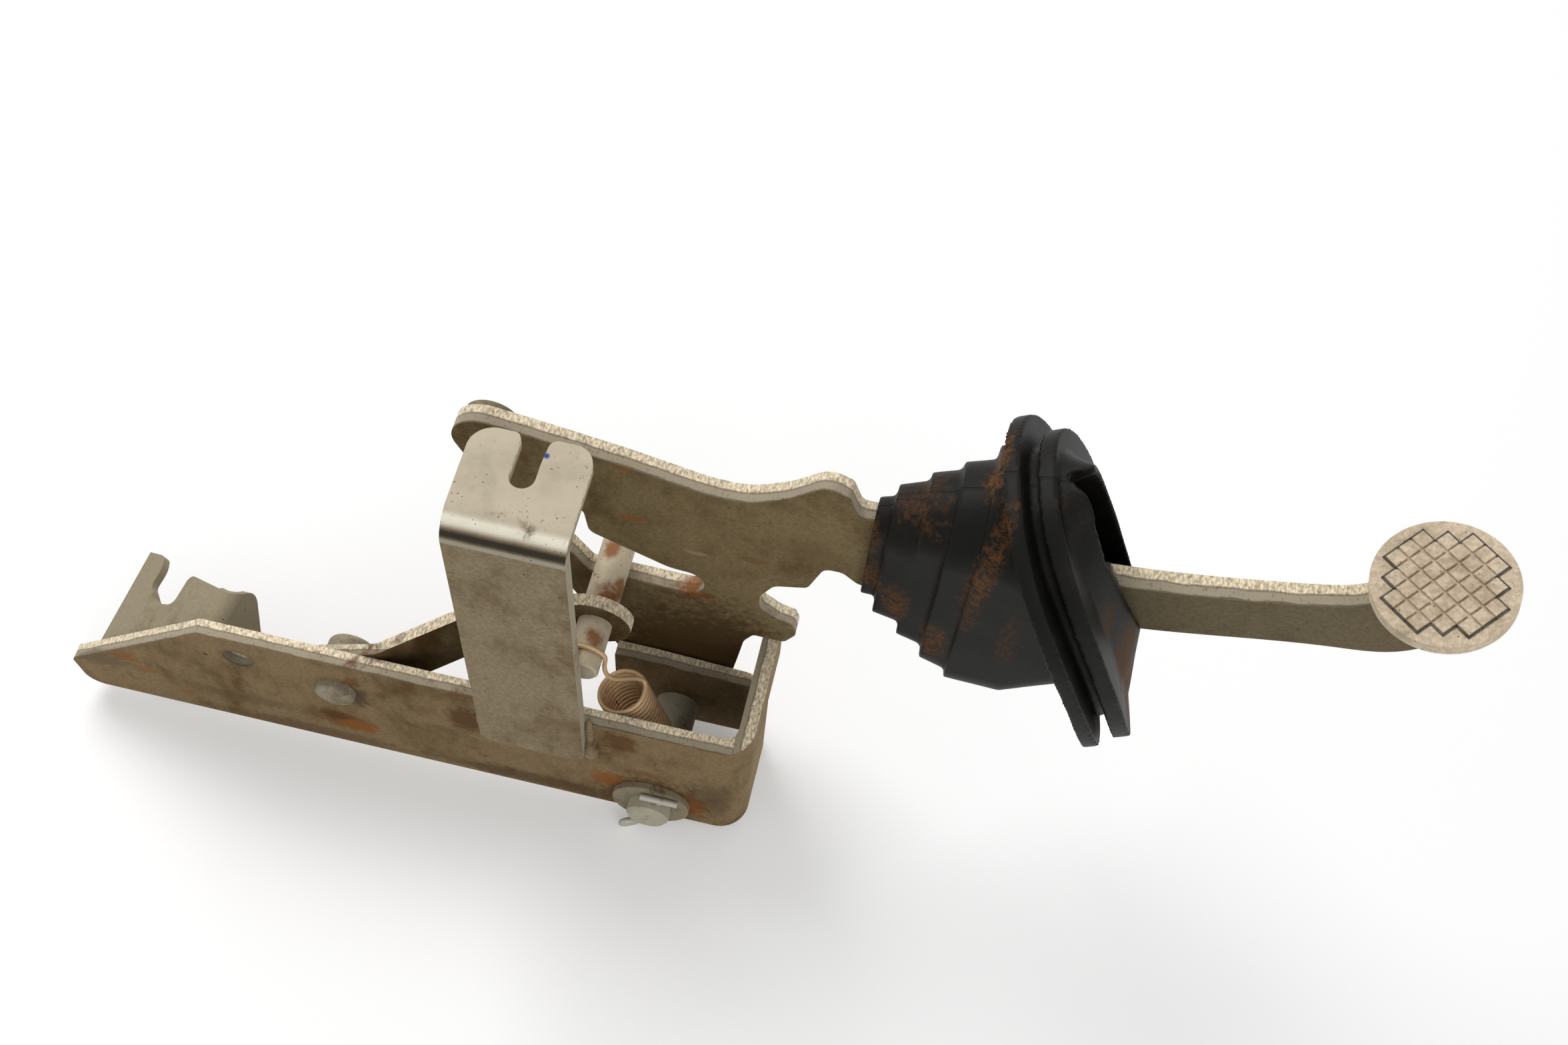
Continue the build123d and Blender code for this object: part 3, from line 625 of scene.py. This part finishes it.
def blank_material(name: str) -> tuple[Material, Bench, Node, Socket, Socket]:
    """Makes a material with only its shader and output.

    Args:
        name: the material's name.
    Returns:
        The material, a bench for its nodes, its shader, and the surface's place and direction.
    """
    material = bpy.data.materials.new(name)
    material.use_nodes = True
    bench = Bench(material.node_tree)
    coords = bench.node("ShaderNodeTexCoord").outputs
    shader = material.node_tree.nodes["Principled BSDF"]
    return material, bench, shader, coords["Object"], coords["Normal"]


def bump(bench: Bench, shader: Node, height: Socket, depth: float) -> None:
    """Raises a surface's fine grain; depth is how far a height of 1 stands out."""
    given = {"Strength": BUMP_STRENGTH, "Distance": depth, "Height": height}
    bench.put(shader.inputs["Normal"], bench.work("ShaderNodeBump", "Normal", given))


def dress(node: str, finish: PlatedSteel) -> None:
    """Gives a CAD node its material.

    Args:
        node: the node's name.
        finish: the finish for all of its slots.
    """
    piece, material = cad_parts[node], finish.build()
    if not piece.material_slots:
        piece.data.materials.append(material)
    for holder in piece.material_slots:
        holder.material = material
    LOG.info("dressed %s with %s", node, material.name)


def add_object(name: str, data: bpy.types.ID) -> Piece:
    """Makes an object and puts it in the scene.

    Args:
        name: its name.
        data: its mesh, lamp or camera.
    Returns:
        The object.
    """
    made = bpy.data.objects.new(name, data)
    bpy.context.scene.collection.objects.link(made)
    return made


def add_skin(name: str, mesh: Mesh, material: Material) -> Piece:
    """Makes a piece from a mesh with one material.

    Args:
        name: the piece's name.
        mesh: its mesh, in the row frame.
        material: its material.
    Returns:
        The piece.
    """
    mesh.materials.clear()
    mesh.materials.append(material)
    LOG.info("built %s with %d faces", name, len(mesh.polygons))
    return add_object(name, mesh)


def new_piece(name: str, mesh: Mesh, material: Material, body: str, node: str) -> Piece:
    """Puts a new, smooth mesh in place of a CAD node.

    Args:
        name: the piece's name.
        mesh: its mesh, in the row frame.
        material: its material.
        body: the body that it rides on.
        node: the node that it replaces.
    Returns:
        The piece.
    """
    piece = add_skin(name, mesh, material)
    mesh.polygons.foreach_set("use_smooth", [True] * len(mesh.polygons))
    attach(piece, body)
    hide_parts(node)
    return piece


def keep_mesh(draft: bmesh.types.BMesh, name: str) -> Mesh:
    """Turns a draft into a mesh.

    Args:
        draft: the draft, which is freed.
        name: the mesh's name.
    Returns:
        The mesh.
    """
    mesh = bpy.data.meshes.new(name)
    draft.to_mesh(mesh)
    draft.free()
    return mesh


def ring_mesh(name: str, rings: list[list[Vector]], closed: bool) -> Mesh:
    """Joins rings of points to a skin.

    Args:
        name: the mesh's name.
        rings: the rings, with the same number of points each.
        closed: whether the last ring joins the first; otherwise both ends are capped.
    Returns:
        The mesh.
    """
    made = bmesh.new()
    rows = [[made.verts.new(point) for point in ring] for ring in rings]
    count = len(rows[0])
    last = len(rows) if closed else len(rows) - 1
    for i in range(last):
        here, after = rows[i], rows[(i + 1) % len(rows)]
        for j in range(count):
            k = (j + 1) % count
            made.faces.new((here[j], here[k], after[k], after[j]))
    if not closed:
        made.faces.new(rows[0][::-1])
        made.faces.new(rows[-1])
    bmesh.ops.recalc_face_normals(made, faces=made.faces)
    return keep_mesh(made, name)


@dataclass
class Bracket:
    """The folded channel with its two cable stays, their welds and the arm's rivet."""

    ripple: float = 1.9 * MM
    ripple_depth: float = 0.35 * MM
    ripple_lean: float = 0.35
    rings: int = 44
    around: int = 20
    weld_sink: float = 1.2 * MM
    blunt: int = 4  # how square the bead's ends are
    neck: float = 0.36  # how far up the bead starts to get slimmer
    neck_long: float = 0.14
    fullness: float = 0.86
    least: float = 0.05
    sway: float = 0.03
    noise_steps: Place = (5.0, 90.0, 0.3)
    mark_deep: float = 3.0  # mm

    def channel_spots(self) -> tuple[Spot, ...]:
        """Gives the marks on the near wall's outer face.

        Returns:
            Rust blooms, black specks, brown stains, a patch that makes the wall darker towards its
            right end, and the shade in the bolt hole's mouth.
        """
        rows = [
            (-48.5, -23.1, 6.5, 4.0, RUST_ORANGE, 0.75), (-42.0, -31.3, 5.0, 3.5, RUST_ORANGE, 0.55),
            (-29.3, -44.4, 3.5, 2.2, RUST_ORANGE, 0.6), (-30.6, 1.1, 1.1, 0.9, STAIN_BLACK, 0.9),
            (-20.7, 8.7, 1.0, 0.8, STAIN_BLACK, 0.9), (-12.6, -2.5, 1.2, 1.0, STAIN_BLACK, 0.9),
            (42.5, -9.5, 6.5, 10.0, (0.085, 0.055, 0.028), 0.85),
            (34.0, -35.0, 14.0, 9.0, (0.150, 0.075, 0.026), 0.9),
            (32.0, -32.6, 6.5, 5.5, RUST_BROWN, 0.95), (39.5, -38.5, 9.0, 5.0, RUST_ORANGE, 0.95),
            (84.0, -8.0, 8.0, 13.0, RUST_BROWN, 0.9), (140.5, 4.6, 7.0, 9.0, RUST_BROWN, 0.85),
            (152.6, -42.0, 21.5, 20.5, RUST_BROWN, 0.95), (136.0, -33.0, 7.5, 7.0, RUST_ORANGE, 0.85),
            (169.0, -41.0, 6.5, 10.0, RUST_ORANGE, 0.8),
            # darker towards the wall's right end
            (176.0, -30.0, 12.0, 18.0, (0.07, 0.045, 0.022), 0.5),
            (20.0, -52.0, 40.0, 6.0, (0.11, 0.062, 0.028), 0.6),
            (110.0, -50.0, 46.0, 6.0, (0.085, 0.05, 0.022), 0.7),
            (-5.0, -36.0, 26.0, 5.0, (0.12, 0.07, 0.032), 0.5),
            (75.0, -22.0, 9.0, 4.0, (0.12, 0.068, 0.03), 0.5),
            (150.5, -20.5, 12.0, 3.0, (0.17, 0.085, 0.035), 0.7),
            (-62.0, -30.0, 16.0, 8.0, (0.10, 0.068, 0.035), 0.55),
        ]
        hole_shade = (0.055, 0.040, 0.020)
        marks = [Spot(mm(x, 0.0, z), mm(wide, self.mark_deep, high), colour, much)
                 for x, z, wide, high, colour, much in rows]
        hole = Spot(mm(0.0, 3, 0.0), mm(7.4, 9, 7.4), hole_shade, ragged=0.1)
        return (*marks, hole)

    def dress(self) -> None:
        """Gives the channel, the stays and the rivet their finishes."""
        dress("bracket_channel", PlatedSteel(
            "channel_plate", face=(0.265, 0.192, 0.100), stained=(0.135, 0.084, 0.034),
            roughness=0.36, metallic=0.7, rule=EdgeRule.CHANNEL, spots=self.channel_spots()))
        dress("front_cable_stay", PlatedSteel(
            "front_stay_plate", face=(0.300, 0.240, 0.150), stained=(0.185, 0.132, 0.070),
            rust=-0.12, roughness=0.34, metallic=0.7, rule=EdgeRule.ANGLE, front=140 * MM,
            thick=5 * MM,
            spots=(Spot(mm(115.4, 25.9, 145), mm(1.1, 1.1, 1.5), BLUE_DOT, 0.95,
                        ragged=0.5),
                   Spot(mm(126, 0.0, 70), mm(5, 6, 16), RUST_BROWN, 0.45),
                   Spot(mm(118, 0.0, 92), mm(6, 4, 7), RUST_BROWN, 0.4))))
        dress("left_cable_stay", PlatedSteel(
            "left_stay_plate", face=(0.345, 0.295, 0.205), stained=(0.225, 0.170, 0.095),
            rust=-0.5, stain=-0.3, roughness=0.34, metallic=0.75, mottle=0.4,
            uneven=0.03 * MM))
        dress("arm_pivot_rivet", PlatedSteel(
            "rivet_plate", face=(0.36, 0.32, 0.24), stained=(0.20, 0.155, 0.09),
            rust=-0.1, roughness=0.34, metallic=0.8))

    def weld(self, node: str, name: str, swell: float, slim: float) -> Piece:
        """Builds a rippled bead of weld in the box of a plain one.

        Args:
            node: the plain bead's node.
            name: the new piece's name.
            swell: how much the bead's width wanders.
            slim: how wide its upper half is, as a share of its lower half.
        Returns:
            The bead.
        """
        low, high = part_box(node)
        middle = (low + high) / 2
        half_wide, length = (high.x - low.x) / 2, high.z - low.z
        deep = high.y - low.y
        along, aside, level = self.noise_steps
        rings = []
        for i in range(self.rings + 1):
            share = i / self.rings
            end = math.sqrt(max(1 - (2 * share - 1) ** self.blunt, 0.0))
            climb = min(max((share - self.neck) / self.neck_long, 0.0), 1.0)
            end *= 1 + (slim - 1) * climb * climb * (3 - 2 * climb)
            phase = (share * length / self.ripple) % 1.0
            wander = swell * noise.noise(Vector((share * along, middle.x * aside, level)))
            size = end * (self.fullness + (1 - self.fullness) * abs(wander))
            size = max(size - self.ripple_depth / half_wide * phase, self.least)
            ring = []
            for j in range(self.around):
                turn = 2 * math.pi * j / self.around
                out = math.cos(turn)
                y = -deep * max(out, 0.0) * size + self.weld_sink * max(-out, 0.0)
                x = middle.x + half_wide * size * math.sin(turn) * (1 + self.sway * (wander - 1))
                z = low.z + length * share + self.ripple * self.ripple_lean * max(out, 0.0) * end
                ring.append(Vector((x, y, min(max(z, low.z), high.z))))
            rings.append(ring)
        finish = PlatedSteel(name + "_skin", face=(0.30, 0.235, 0.145), stained=(0.13, 0.082, 0.042),
                             rust=0.12, rust_scale=120.0, stain_scale=120.0, roughness=0.38,
                             metallic=0.6)
        return new_piece(name, ring_mesh(name, rings, False), finish.build(), "bracket", node)


@dataclass
class ArmGroup:
    """The joggled link arm with the eye pin through its end."""

    pin_place: Place = mm(127.0, 29.5, 42.0)
    pin_radius: float = 6.0 * MM
    leg: float = 2.8 * MM
    ripples: int = 15
    ripple_depth: float = 0.12
    swell: float = 0.10
    swell_scale: float = 2.2
    fullness: float = 0.99
    root_sink: float = 0.3 * MM
    back_sink: float = 0.4 * MM
    hollow: float = 0.45
    steps: int = 120
    around: int = 12

    def dress(self) -> None:
        """Gives the arm and its pin their finishes."""
        dress("link_arm", PlatedSteel(
            "arm_plate", face=(0.215, 0.165, 0.090), stained=(0.085, 0.048, 0.016), rust=-0.02,
            stain=0.3, metallic=0.6, rule=EdgeRule.PLATE, front=6.3 * MM, thick=4.5 * MM))
        dress("eye_pin", PlatedSteel(
            "pin_plate", face=(0.56, 0.49, 0.37), stained=(0.36, 0.27, 0.16),
            rust_scale=110.0, stain=-0.3, stain_scale=60.0, roughness=0.30, metallic=0.8,
            mottle=0.3, uneven=0.03 * MM, spots=self.pin_spots()))

    def pin_spots(self) -> tuple[Spot, ...]:
        """Gives the rust blooms along the pin.

        Returns:
            The blooms, placed by how far they lie behind the pin's middle, beside and above.
        """
        x, y, z = self.pin_place
        strength = 0.85
        rows = [(9.0, 4.5, 2.0, 4.0, 5.0), (3.0, 2.0, 5.0, 5.0, 6.0), (22.0, -1.0, 5.5, 3.5, 4.0),
                (-12.0, 2.0, 5.0, 4.0, 3.5), (-19.0, -3.5, 4.5, 3.5, 5.0), (31.0, 3.5, 4.0, 3.0, 5.0)]
        return tuple(Spot((x + aside * MM, y + along * MM, z + up * MM), mm(wide, long, wide),
                          RUST_ORANGE, strength) for along, aside, up, wide, long in rows)

    def weld_ring(self) -> Piece:
        """Builds the rippled fillet round the pin behind the arm's eye.

        Returns:
            The fillet.
        """
        centre = Vector(self.pin_place)
        rings = []
        for i in range(self.steps):
            turn = 2 * math.pi * i / self.steps
            out = Vector((math.cos(turn), 0, math.sin(turn)))
            phase = (i * self.ripples / self.steps) % 1.0
            wander = abs(noise.noise(out * self.swell_scale))
            size = self.leg * (self.fullness - self.ripple_depth * phase - self.swell * wander)
            ring = []
            for j in range(self.around):
                bend = 2 * math.pi * j / self.around
                side, back = max(math.cos(bend), 0.0), math.sin(bend)
                reach = self.pin_radius - self.root_sink + size * side
                deep = -self.back_sink if back < 0 else size * back * (1 - self.hollow * side)
                ring.append(centre + out * reach + Vector((0, deep, 0)))
            rings.append(ring)
        mesh = ring_mesh("pin_weld_ring", rings, True)
        finish = PlatedSteel("pin_weld_skin", face=(0.20, 0.125, 0.06), stained=(0.10, 0.05, 0.02),
                             rust=0.6, rust_scale=110.0, roughness=0.6, metallic=0.3)
        return new_piece("pin_weld_ring", mesh, finish.build(), "arm", "eye_pin_weld")


@dataclass
class Fastenings:
    """The return spring and what holds the lever's shaft."""

    hook_height: float = 33.0 * MM  # above it lies the wire of the upper hook, on the pin
    coil_height: float = -18.0 * MM  # below it lies the wire of the lower hook, on the bracket

    def spring(self) -> Piece:
        """Copies the return spring's mesh into a new piece with its own finish, in place of the CAD
        spring.

        Returns:
            The spring.
        """
        finish = PlatedSteel(
            "spring_wire", face=(0.62, 0.45, 0.27), stained=(0.46, 0.28, 0.13), rust=-0.5,
            rust_scale=160.0, stain_scale=70.0, stain=-0.3, roughness=0.22, metallic=1.0,
            mottle=0.0, uneven=0.005 * MM)
        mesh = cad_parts["return_spring"].data.copy()
        piece = add_skin("hooked_spring", mesh, finish.build())
        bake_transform(piece)
        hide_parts("return_spring")
        return piece

    def dress(self) -> None:
        """Gives the shaft, washer and split pin their finishes."""
        dress("pivot_shaft", PlatedSteel(
            "shaft_plate", face=(0.46, 0.43, 0.34), stained=(0.17, 0.13, 0.08),
            stain_scale=90.0, stain=-0.3, roughness=0.3, metallic=0.85, mottle=0.3,
            uneven=0.02 * MM))
        dress("washer", PlatedSteel(
            "washer_plate", face=(0.30, 0.26, 0.18), stained=(0.12, 0.078, 0.036), rust=0.16,
            rust_scale=90.0, stain_scale=90.0, roughness=0.28, metallic=0.95, mottle=0.3,
            uneven=0.02 * MM))
        dress("split_pin", PlatedSteel(
            "split_pin_wire", face=(0.50, 0.48, 0.42), stained=(0.28, 0.23, 0.16), rust=0.02,
            rust_scale=120.0, stain=-0.3, stain_scale=120.0, roughness=0.25, metallic=1.0,
            mottle=0.2, uneven=0.02 * MM))


@dataclass
class Lever:
    """The lever plate with the boss on its cable hole."""

    mark_deep: float = 8.0  # mm

    def marks(self) -> tuple[Spot, ...]:
        """Gives the rust on the lever's near face and in its slot, and the painted shade on its lower
        arm.

        Returns:
            Orange blooms, and painted shade on the lower arm where it lies inside the bracket.
        """
        rows = [
            ((134.0, NEAR_FACE, 79.5), 5.0, 2.0, RUST_ORANGE, 0.8),
            ((132.2, NEAR_FACE, 109.5), 4.0, 1.8, RUST_ORANGE, 0.6),
            ((156.8, NEAR_FACE, 65.7), 4.5, 1.5, (0.34, 0.26, 0.16), 0.6),
            ((176.0, NEAR_FACE, 69.0), 5.0, 3.0, (0.16, 0.085, 0.035), 0.7),
            ((158.0, 50.0, 35.8), 9.0, 3.0, RUST_ORANGE, 0.85),
            # painted shade: the lower arm lies in the bracket's shadow
            ((160.0, NEAR_FACE, -5.0), 40.0, 42.0, (0.075, 0.040, 0.012), 0.85),
            ((196.0, NEAR_FACE, 84.0), 12.0, 9.0, (0.14, 0.095, 0.045), 0.5),
        ]
        return tuple(Spot(mm(*place), mm(wide, self.mark_deep, high), colour, much)
                     for place, wide, high, colour, much in rows)

    def dress(self) -> None:
        """Gives the lever plate and the boss their finishes."""
        dress("lever_plate", PlatedSteel(
            "lever_plate_skin", face=(0.250, 0.190, 0.098), stained=(0.125, 0.080, 0.032),
            rust=-0.08, stain=0.12, roughness=0.40, metallic=0.6, rule=EdgeRule.PLATE,
            front=NEAR_FACE * MM, thick=7 * MM, spots=self.marks()))
        dress("cable_end_boss", PlatedSteel(
            "boss_plate", face=(0.30, 0.26, 0.18), stained=(0.18, 0.14, 0.085),
            roughness=0.36, metallic=0.7))


@dataclass
class BarAndPad:
    """The pedal bar with the studded foot pad on its end."""

    pad_middle: Place = mm(381.3, 51.7, 141.7)
    pad_tilt: float = 15.0
    pitch: float = 5.0 * MM
    reach: int = 3  # studs from the middle to each side of the field
    corner: int = 4  # the same, counted round a corner
    line_wide: float = 0.85 * MM
    line_high: float = 0.22 * MM
    slope: float = 0.04

    def in_field(self, i: int, j: int) -> bool:
        """Says whether the tread has a stud i and j places from its middle."""
        return max(abs(i), abs(j)) <= self.reach and abs(i) + abs(j) <= self.corner

    def strip(self, made: bmesh.types.BMesh, middle: Vector, out: Vector, side: Vector,
              normal: Vector) -> None:
        """Adds one straight piece of the line.

        Args:
            made: the draft that gets it.
            middle: its middle.
            out: the direction across it.
            side: the direction along it.
            normal: the pad's direction.
        """
        wide = self.line_wide / 2
        ends = [middle + side * (k * (self.pitch / 2 + wide)) for k in (-1, 1)]
        low = [ends[0] - out * wide, ends[1] - out * wide, ends[1] + out * wide, ends[0] + out * wide]
        high = [p.lerp((ends[0] + ends[1]) / 2, self.slope) + normal * self.line_high for p in low]
        foot = [made.verts.new(p - normal * self.line_high) for p in low]
        crown = [made.verts.new(p) for p in high]
        made.faces.new(crown)
        made.faces.new(foot[::-1])
        for k in range(4):
            m = (k + 1) % 4
            made.faces.new((foot[k], foot[m], crown[m], crown[k]))

    def tread_line(self) -> Piece:
        """Builds a dark strip of painted shade along the tread's stepped outline, where the step
        round the studded field lies in shade.

        Returns:
            The line.
        """
        tilt = math.radians(self.pad_tilt)
        normal = Vector((-math.sin(tilt), 0, math.cos(tilt)))
        along = Vector((math.cos(tilt), 0, math.sin(tilt)))
        across = normal.cross(along)
        first, second = (along + across).normalized(), (across - along).normalized()
        made = bmesh.new()
        for i in range(-self.reach, self.reach + 1):
            for j in range(-self.reach, self.reach + 1):
                for a, b in ((1, 0), (-1, 0), (0, 1), (0, -1)):
                    if not self.in_field(i, j) or self.in_field(i + a, j + b):
                        continue
                    out, side = first * a + second * b, first * b + second * a
                    middle = (Vector(self.pad_middle) + first * (i * self.pitch)
                              + second * (j * self.pitch) + out * (self.pitch / 2))
                    self.strip(made, middle, out, side, normal)
        bmesh.ops.recalc_face_normals(made, faces=made.faces)
        # painted shade: a dark finish on a thin strip along the outline of the tread field
        outline_shade = PlatedSteel("tread_outline_shade", face=(0.17, 0.155, 0.13), stained=(0.09, 0.075, 0.055),
                            stain=0.2, stain_scale=120.0, roughness=0.6, metallic=0.2)
        piece = add_skin("tread_line", keep_mesh(made, "tread_line"), outline_shade.build())
        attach(piece, "pedal")
        return piece

    def dress(self) -> None:
        """Gives the bar and the pad their finishes."""
        dress("pedal_bar", PlatedSteel(
            "bar_plate", face=(0.200, 0.163, 0.098), stained=(0.120, 0.093, 0.052), rust=-0.25,
            stain=-0.1, metallic=0.6, edge=(0.62, 0.55, 0.41),
            edge_smooth=(0.44, 0.39, 0.29), rule=EdgeRule.PLATE, front=NEAR_FACE * MM,
            thick=8 * MM))
        dress("pedal_pad", PlatedSteel(
            "pad_plate", face=(0.70, 0.60, 0.46), stained=(0.52, 0.42, 0.30), rust=-0.25,
            stain_scale=60.0, roughness=0.44, metallic=0.5))


@dataclass
class FloorBoot:
    """The stepped rubber boot with its two flanges and its hood."""

    voxel: float = 0.85 * MM
    relax: int = 3
    relax_share: float = 0.5
    wave: float = 0.22 * MM
    wave_scale: float = 55.0
    dust: Colour = (0.150, 0.066, 0.022)
    dust_ragged: float = 2.0
    side_lip: tuple[tuple[float, float], ...] = (
        (277.0, 148.0), (284.6, 131.0), (297.0, 103.0), (335.0, 103.0), (335.0, 172.0),
        (277.0, 172.0))
    side_lip_y: tuple[float, float] = (12.0, 53.0)
    top_lip: tuple[tuple[float, float], ...] = (
        (265.2, 54.3), (268.0, 51.3), (274.7, 45.2), (277.6, 41.8), (284.4, 38.2),
        (335.0, 38.2), (335.0, 62.0), (290.0, 58.4))
    top_lip_z: tuple[float, float] = (130.0, 175.0)

    def marks(self) -> tuple[Spot, ...]:
        """Gives the patches of brown dust.

        Returns:
            Dust on the steps' ends, the flanges' rims and the hood's side.
        """
        rows = [
            ((216.0, 44.0, 84.0), (6, 9, 10), 0.75), ((225.4, 38.0, 80.0), (5, 8, 12), 0.7),
            ((240.0, 33.0, 70.0), (5, 8, 12), 0.75), ((213.7, 44.0, 105.0), (3, 9, 12), 0.6),
            ((246.0, 58.0, 144.0), (5, 14, 8), 0.9), ((252.0, 36.0, 140.0), (4, 8, 16), 0.6),
            ((249.5, 30.0, 125.0), (4, 6, 16), 0.7), ((247.2, 29.0, 108.0), (5, 4, 22), 0.45),
            ((300.5, 35.0, 85.0), (7, 10, 20), 0.85), ((306.0, 34.0, 60.0), (6, 10, 20), 0.9),
            ((300.0, 25.0, 52.0), (8, 12, 12), 0.7), ((289.4, 31.0, 110.0), (5, 5, 10), 0.4),
            ((262.0, 22.0, 92.0), (4, 10, 20), 0.4), ((236.0, 51.0, 124.0), (22, 12, 8), 0.45),
        ]
        return tuple(Spot(mm(*place), mm(*reach), self.dust, much, self.dust_ragged)
                     for place, reach, much in rows)

    def mouth_cutters(self) -> list[Piece]:
        """Builds the two blocks that take the hood's near wall back to its lip.

        Returns:
            The blocks.
        """
        side = [[Vector((x, y, z)) * MM for x, z in self.side_lip] for y in self.side_lip_y]
        top = [[Vector((x, y, z)) * MM for x, y in self.top_lip] for z in self.top_lip_z]
        return [add_object(name, ring_mesh(name, rings, False))
                for name, rings in (("side_cutter", side), ("top_cutter", top))]

    def build(self) -> Piece:
        """Builds the boot with soft edges and slightly uneven walls.

        Returns:
            The boot.
        """
        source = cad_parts["floor_boot"]
        rough = add_object("boot_draft", source.data.copy())
        blocks = self.mouth_cutters()
        for block in blocks:
            cut = rough.modifiers.new("lip", "BOOLEAN")
            cut.operation, cut.solver, cut.object = "DIFFERENCE", "EXACT", block
        skin = rough.modifiers.new("even_skin", "REMESH")
        skin.mode, skin.voxel_size = "VOXEL", self.voxel
        ease = rough.modifiers.new("soft_edges", "SMOOTH")
        ease.factor, ease.iterations = self.relax_share, self.relax
        bpy.context.view_layer.update()
        solid = rough.evaluated_get(bpy.context.evaluated_depsgraph_get())
        mesh = bpy.data.meshes.new_from_object(solid)
        for draft in (rough, *blocks):
            bpy.data.objects.remove(draft)
        count = len(mesh.vertices)
        points, outward = np.zeros(count * 3), np.zeros(count * 3)
        mesh.vertices.foreach_get("co", points)
        mesh.vertices.foreach_get("normal", outward)
        points, outward = points.reshape(-1, 3), outward.reshape(-1, 3)
        waves = np.array([noise.noise(Vector(point) * self.wave_scale) for point in points])
        points += outward * waves[:, None] * self.wave
        low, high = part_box("floor_boot")
        mesh.vertices.foreach_set("co", np.clip(points, low, high).ravel())
        mesh.name = "rubber_boot"
        finish = Rubber("boot_rubber", spots=self.marks())
        return new_piece("rubber_boot", mesh, finish.build(), "pedal", "floor_boot")


@dataclass
class Studio:
    """The floor, the light and the camera."""

    floor_half: float = 6.0
    floor_drop: float = 0.4 * MM
    camera_place: Place = (0.2210, -0.2467, 0.6161)
    lens: float = 42.855
    sensor: float = 36.0
    right: Place = (0.97441, 0.21771, 0.05595)
    up: Place = (-0.21650, 0.84204, 0.49406)
    back: Place = (0.06045, -0.49353, 0.86762)
    near_clip: float = 0.01
    far_clip: float = 50.0
    pale: Colour = (0.90, 0.90, 0.90)
    floor_rough: float = 0.9
    floor_shine: float = 0.1
    floor_glow: float = 0.22
    room_light: float = 0.50
    backdrop: float = 1.0

    def floor(self) -> None:
        """Lays a pale floor under the object."""
        low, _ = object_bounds()
        level, half = low.z - self.floor_drop, self.floor_half
        made = bmesh.new()
        corners = [(-half, -half), (half, -half), (half, half), (-half, half)]
        made.faces.new([made.verts.new((x, y, level)) for x, y in corners])
        mesh = keep_mesh(made, "floor")
        piece = add_object("floor", mesh)
        piece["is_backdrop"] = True
        material, bench, shader, _, _ = blank_material("pale_floor")
        bench.put(shader.inputs["Base Color"], self.pale)
        bench.put(shader.inputs["Roughness"], self.floor_rough)
        bench.put(shader.inputs["Specular IOR Level"], self.floor_shine)
        bench.put(shader.inputs["Emission Color"], WHITE)
        bench.put(shader.inputs["Emission Strength"], bench.times(self.seen(bench), self.floor_glow))
        mesh.materials.append(material)

    def seen(self, bench: Bench) -> Socket:
        """Tells rays that end in the picture from rays that light other surfaces.

        Args:
            bench: the bench of the material or the world.
        Returns:
            1 for rays from the camera and rays that a surface mirrors or lets through.
        """
        path = bench.node("ShaderNodeLightPath").outputs
        both = bench.math("MAXIMUM", path["Is Camera Ray"], path["Is Glossy Ray"])
        return bench.math("MAXIMUM", both, path["Is Transmission Ray"])

    def light(self) -> None:
        """Sets the world and two soft lamps."""
        world = bpy.data.worlds.new("studio")
        world.use_nodes = True
        bpy.context.scene.world = world
        bench = Bench(world.node_tree)
        sky = world.node_tree.nodes["Background"].inputs
        bench.put(sky["Color"], WHITE)
        bench.put(sky["Strength"],
                  bench.blend_numbers(self.seen(bench), self.room_light, self.backdrop))
        self.lamp("key_lamp", (-0.55, 0.75, 1.25), size=0.9, power=13.0)
        self.lamp("front_lamp", (0.9, -1.1, 0.9), size=1.0, power=4.0)
        bpy.context.scene.view_settings.view_transform = "Standard"

    def lamp(self, name: str, place: Place, size: float, power: float) -> None:
        """Adds a soft square lamp that looks at the object's middle.

        Args:
            name: the lamp's name.
            place: where it stands.
            size: its side.
            power: its power in watts.
        """
        data = bpy.data.lights.new(name, "AREA")
        data.shape, data.size, data.energy = "SQUARE", size, power
        lamp = add_object(name, data)
        lamp.location = place
        low, high = (Vector(corner) for corner in CAD_BOX)
        aim = (low + high) / 2 - Vector(place)
        lamp.rotation_mode = "QUATERNION"
        lamp.rotation_quaternion = aim.to_track_quat("-Z", "Y")

    def camera(self) -> None:
        """Stands the camera where the photograph was taken."""
        data = bpy.data.cameras.new("photo_camera")
        data.lens, data.sensor_width, data.sensor_fit = self.lens, self.sensor, "HORIZONTAL"
        data.clip_start, data.clip_end = self.near_clip, self.far_clip
        camera = add_object("photo_camera", data)
        turn = Matrix((self.right, self.up, self.back)).transposed().to_4x4()
        camera.matrix_world = Matrix.Translation(self.camera_place) @ turn
        bpy.context.scene.camera = camera


def main() -> None:
    """Builds and dresses every sub-assembly in order."""
    logging.basicConfig(level=logging.INFO)
    for make_effect in (make_cut_edge, make_stain, make_rust, make_spot, make_dust):
        make_effect()
    bracket = Bracket()
    bracket.dress()
    bracket.weld("front_stay_weld_left", "weld_bead_left", swell=0.5, slim=0.85)
    bracket.weld("front_stay_weld_right", "weld_bead_right", swell=0.8, slim=0.5)
    arm = ArmGroup()
    arm.dress()
    arm.weld_ring()
    fastenings = Fastenings()
    fastenings.spring()
    fastenings.dress()
    Lever().dress()
    bar = BarAndPad()
    bar.dress()
    bar.tread_line()
    FloorBoot().build()
    studio = Studio()
    studio.floor()
    studio.light()
    studio.camera()


if __name__ == "__main__":
    main()
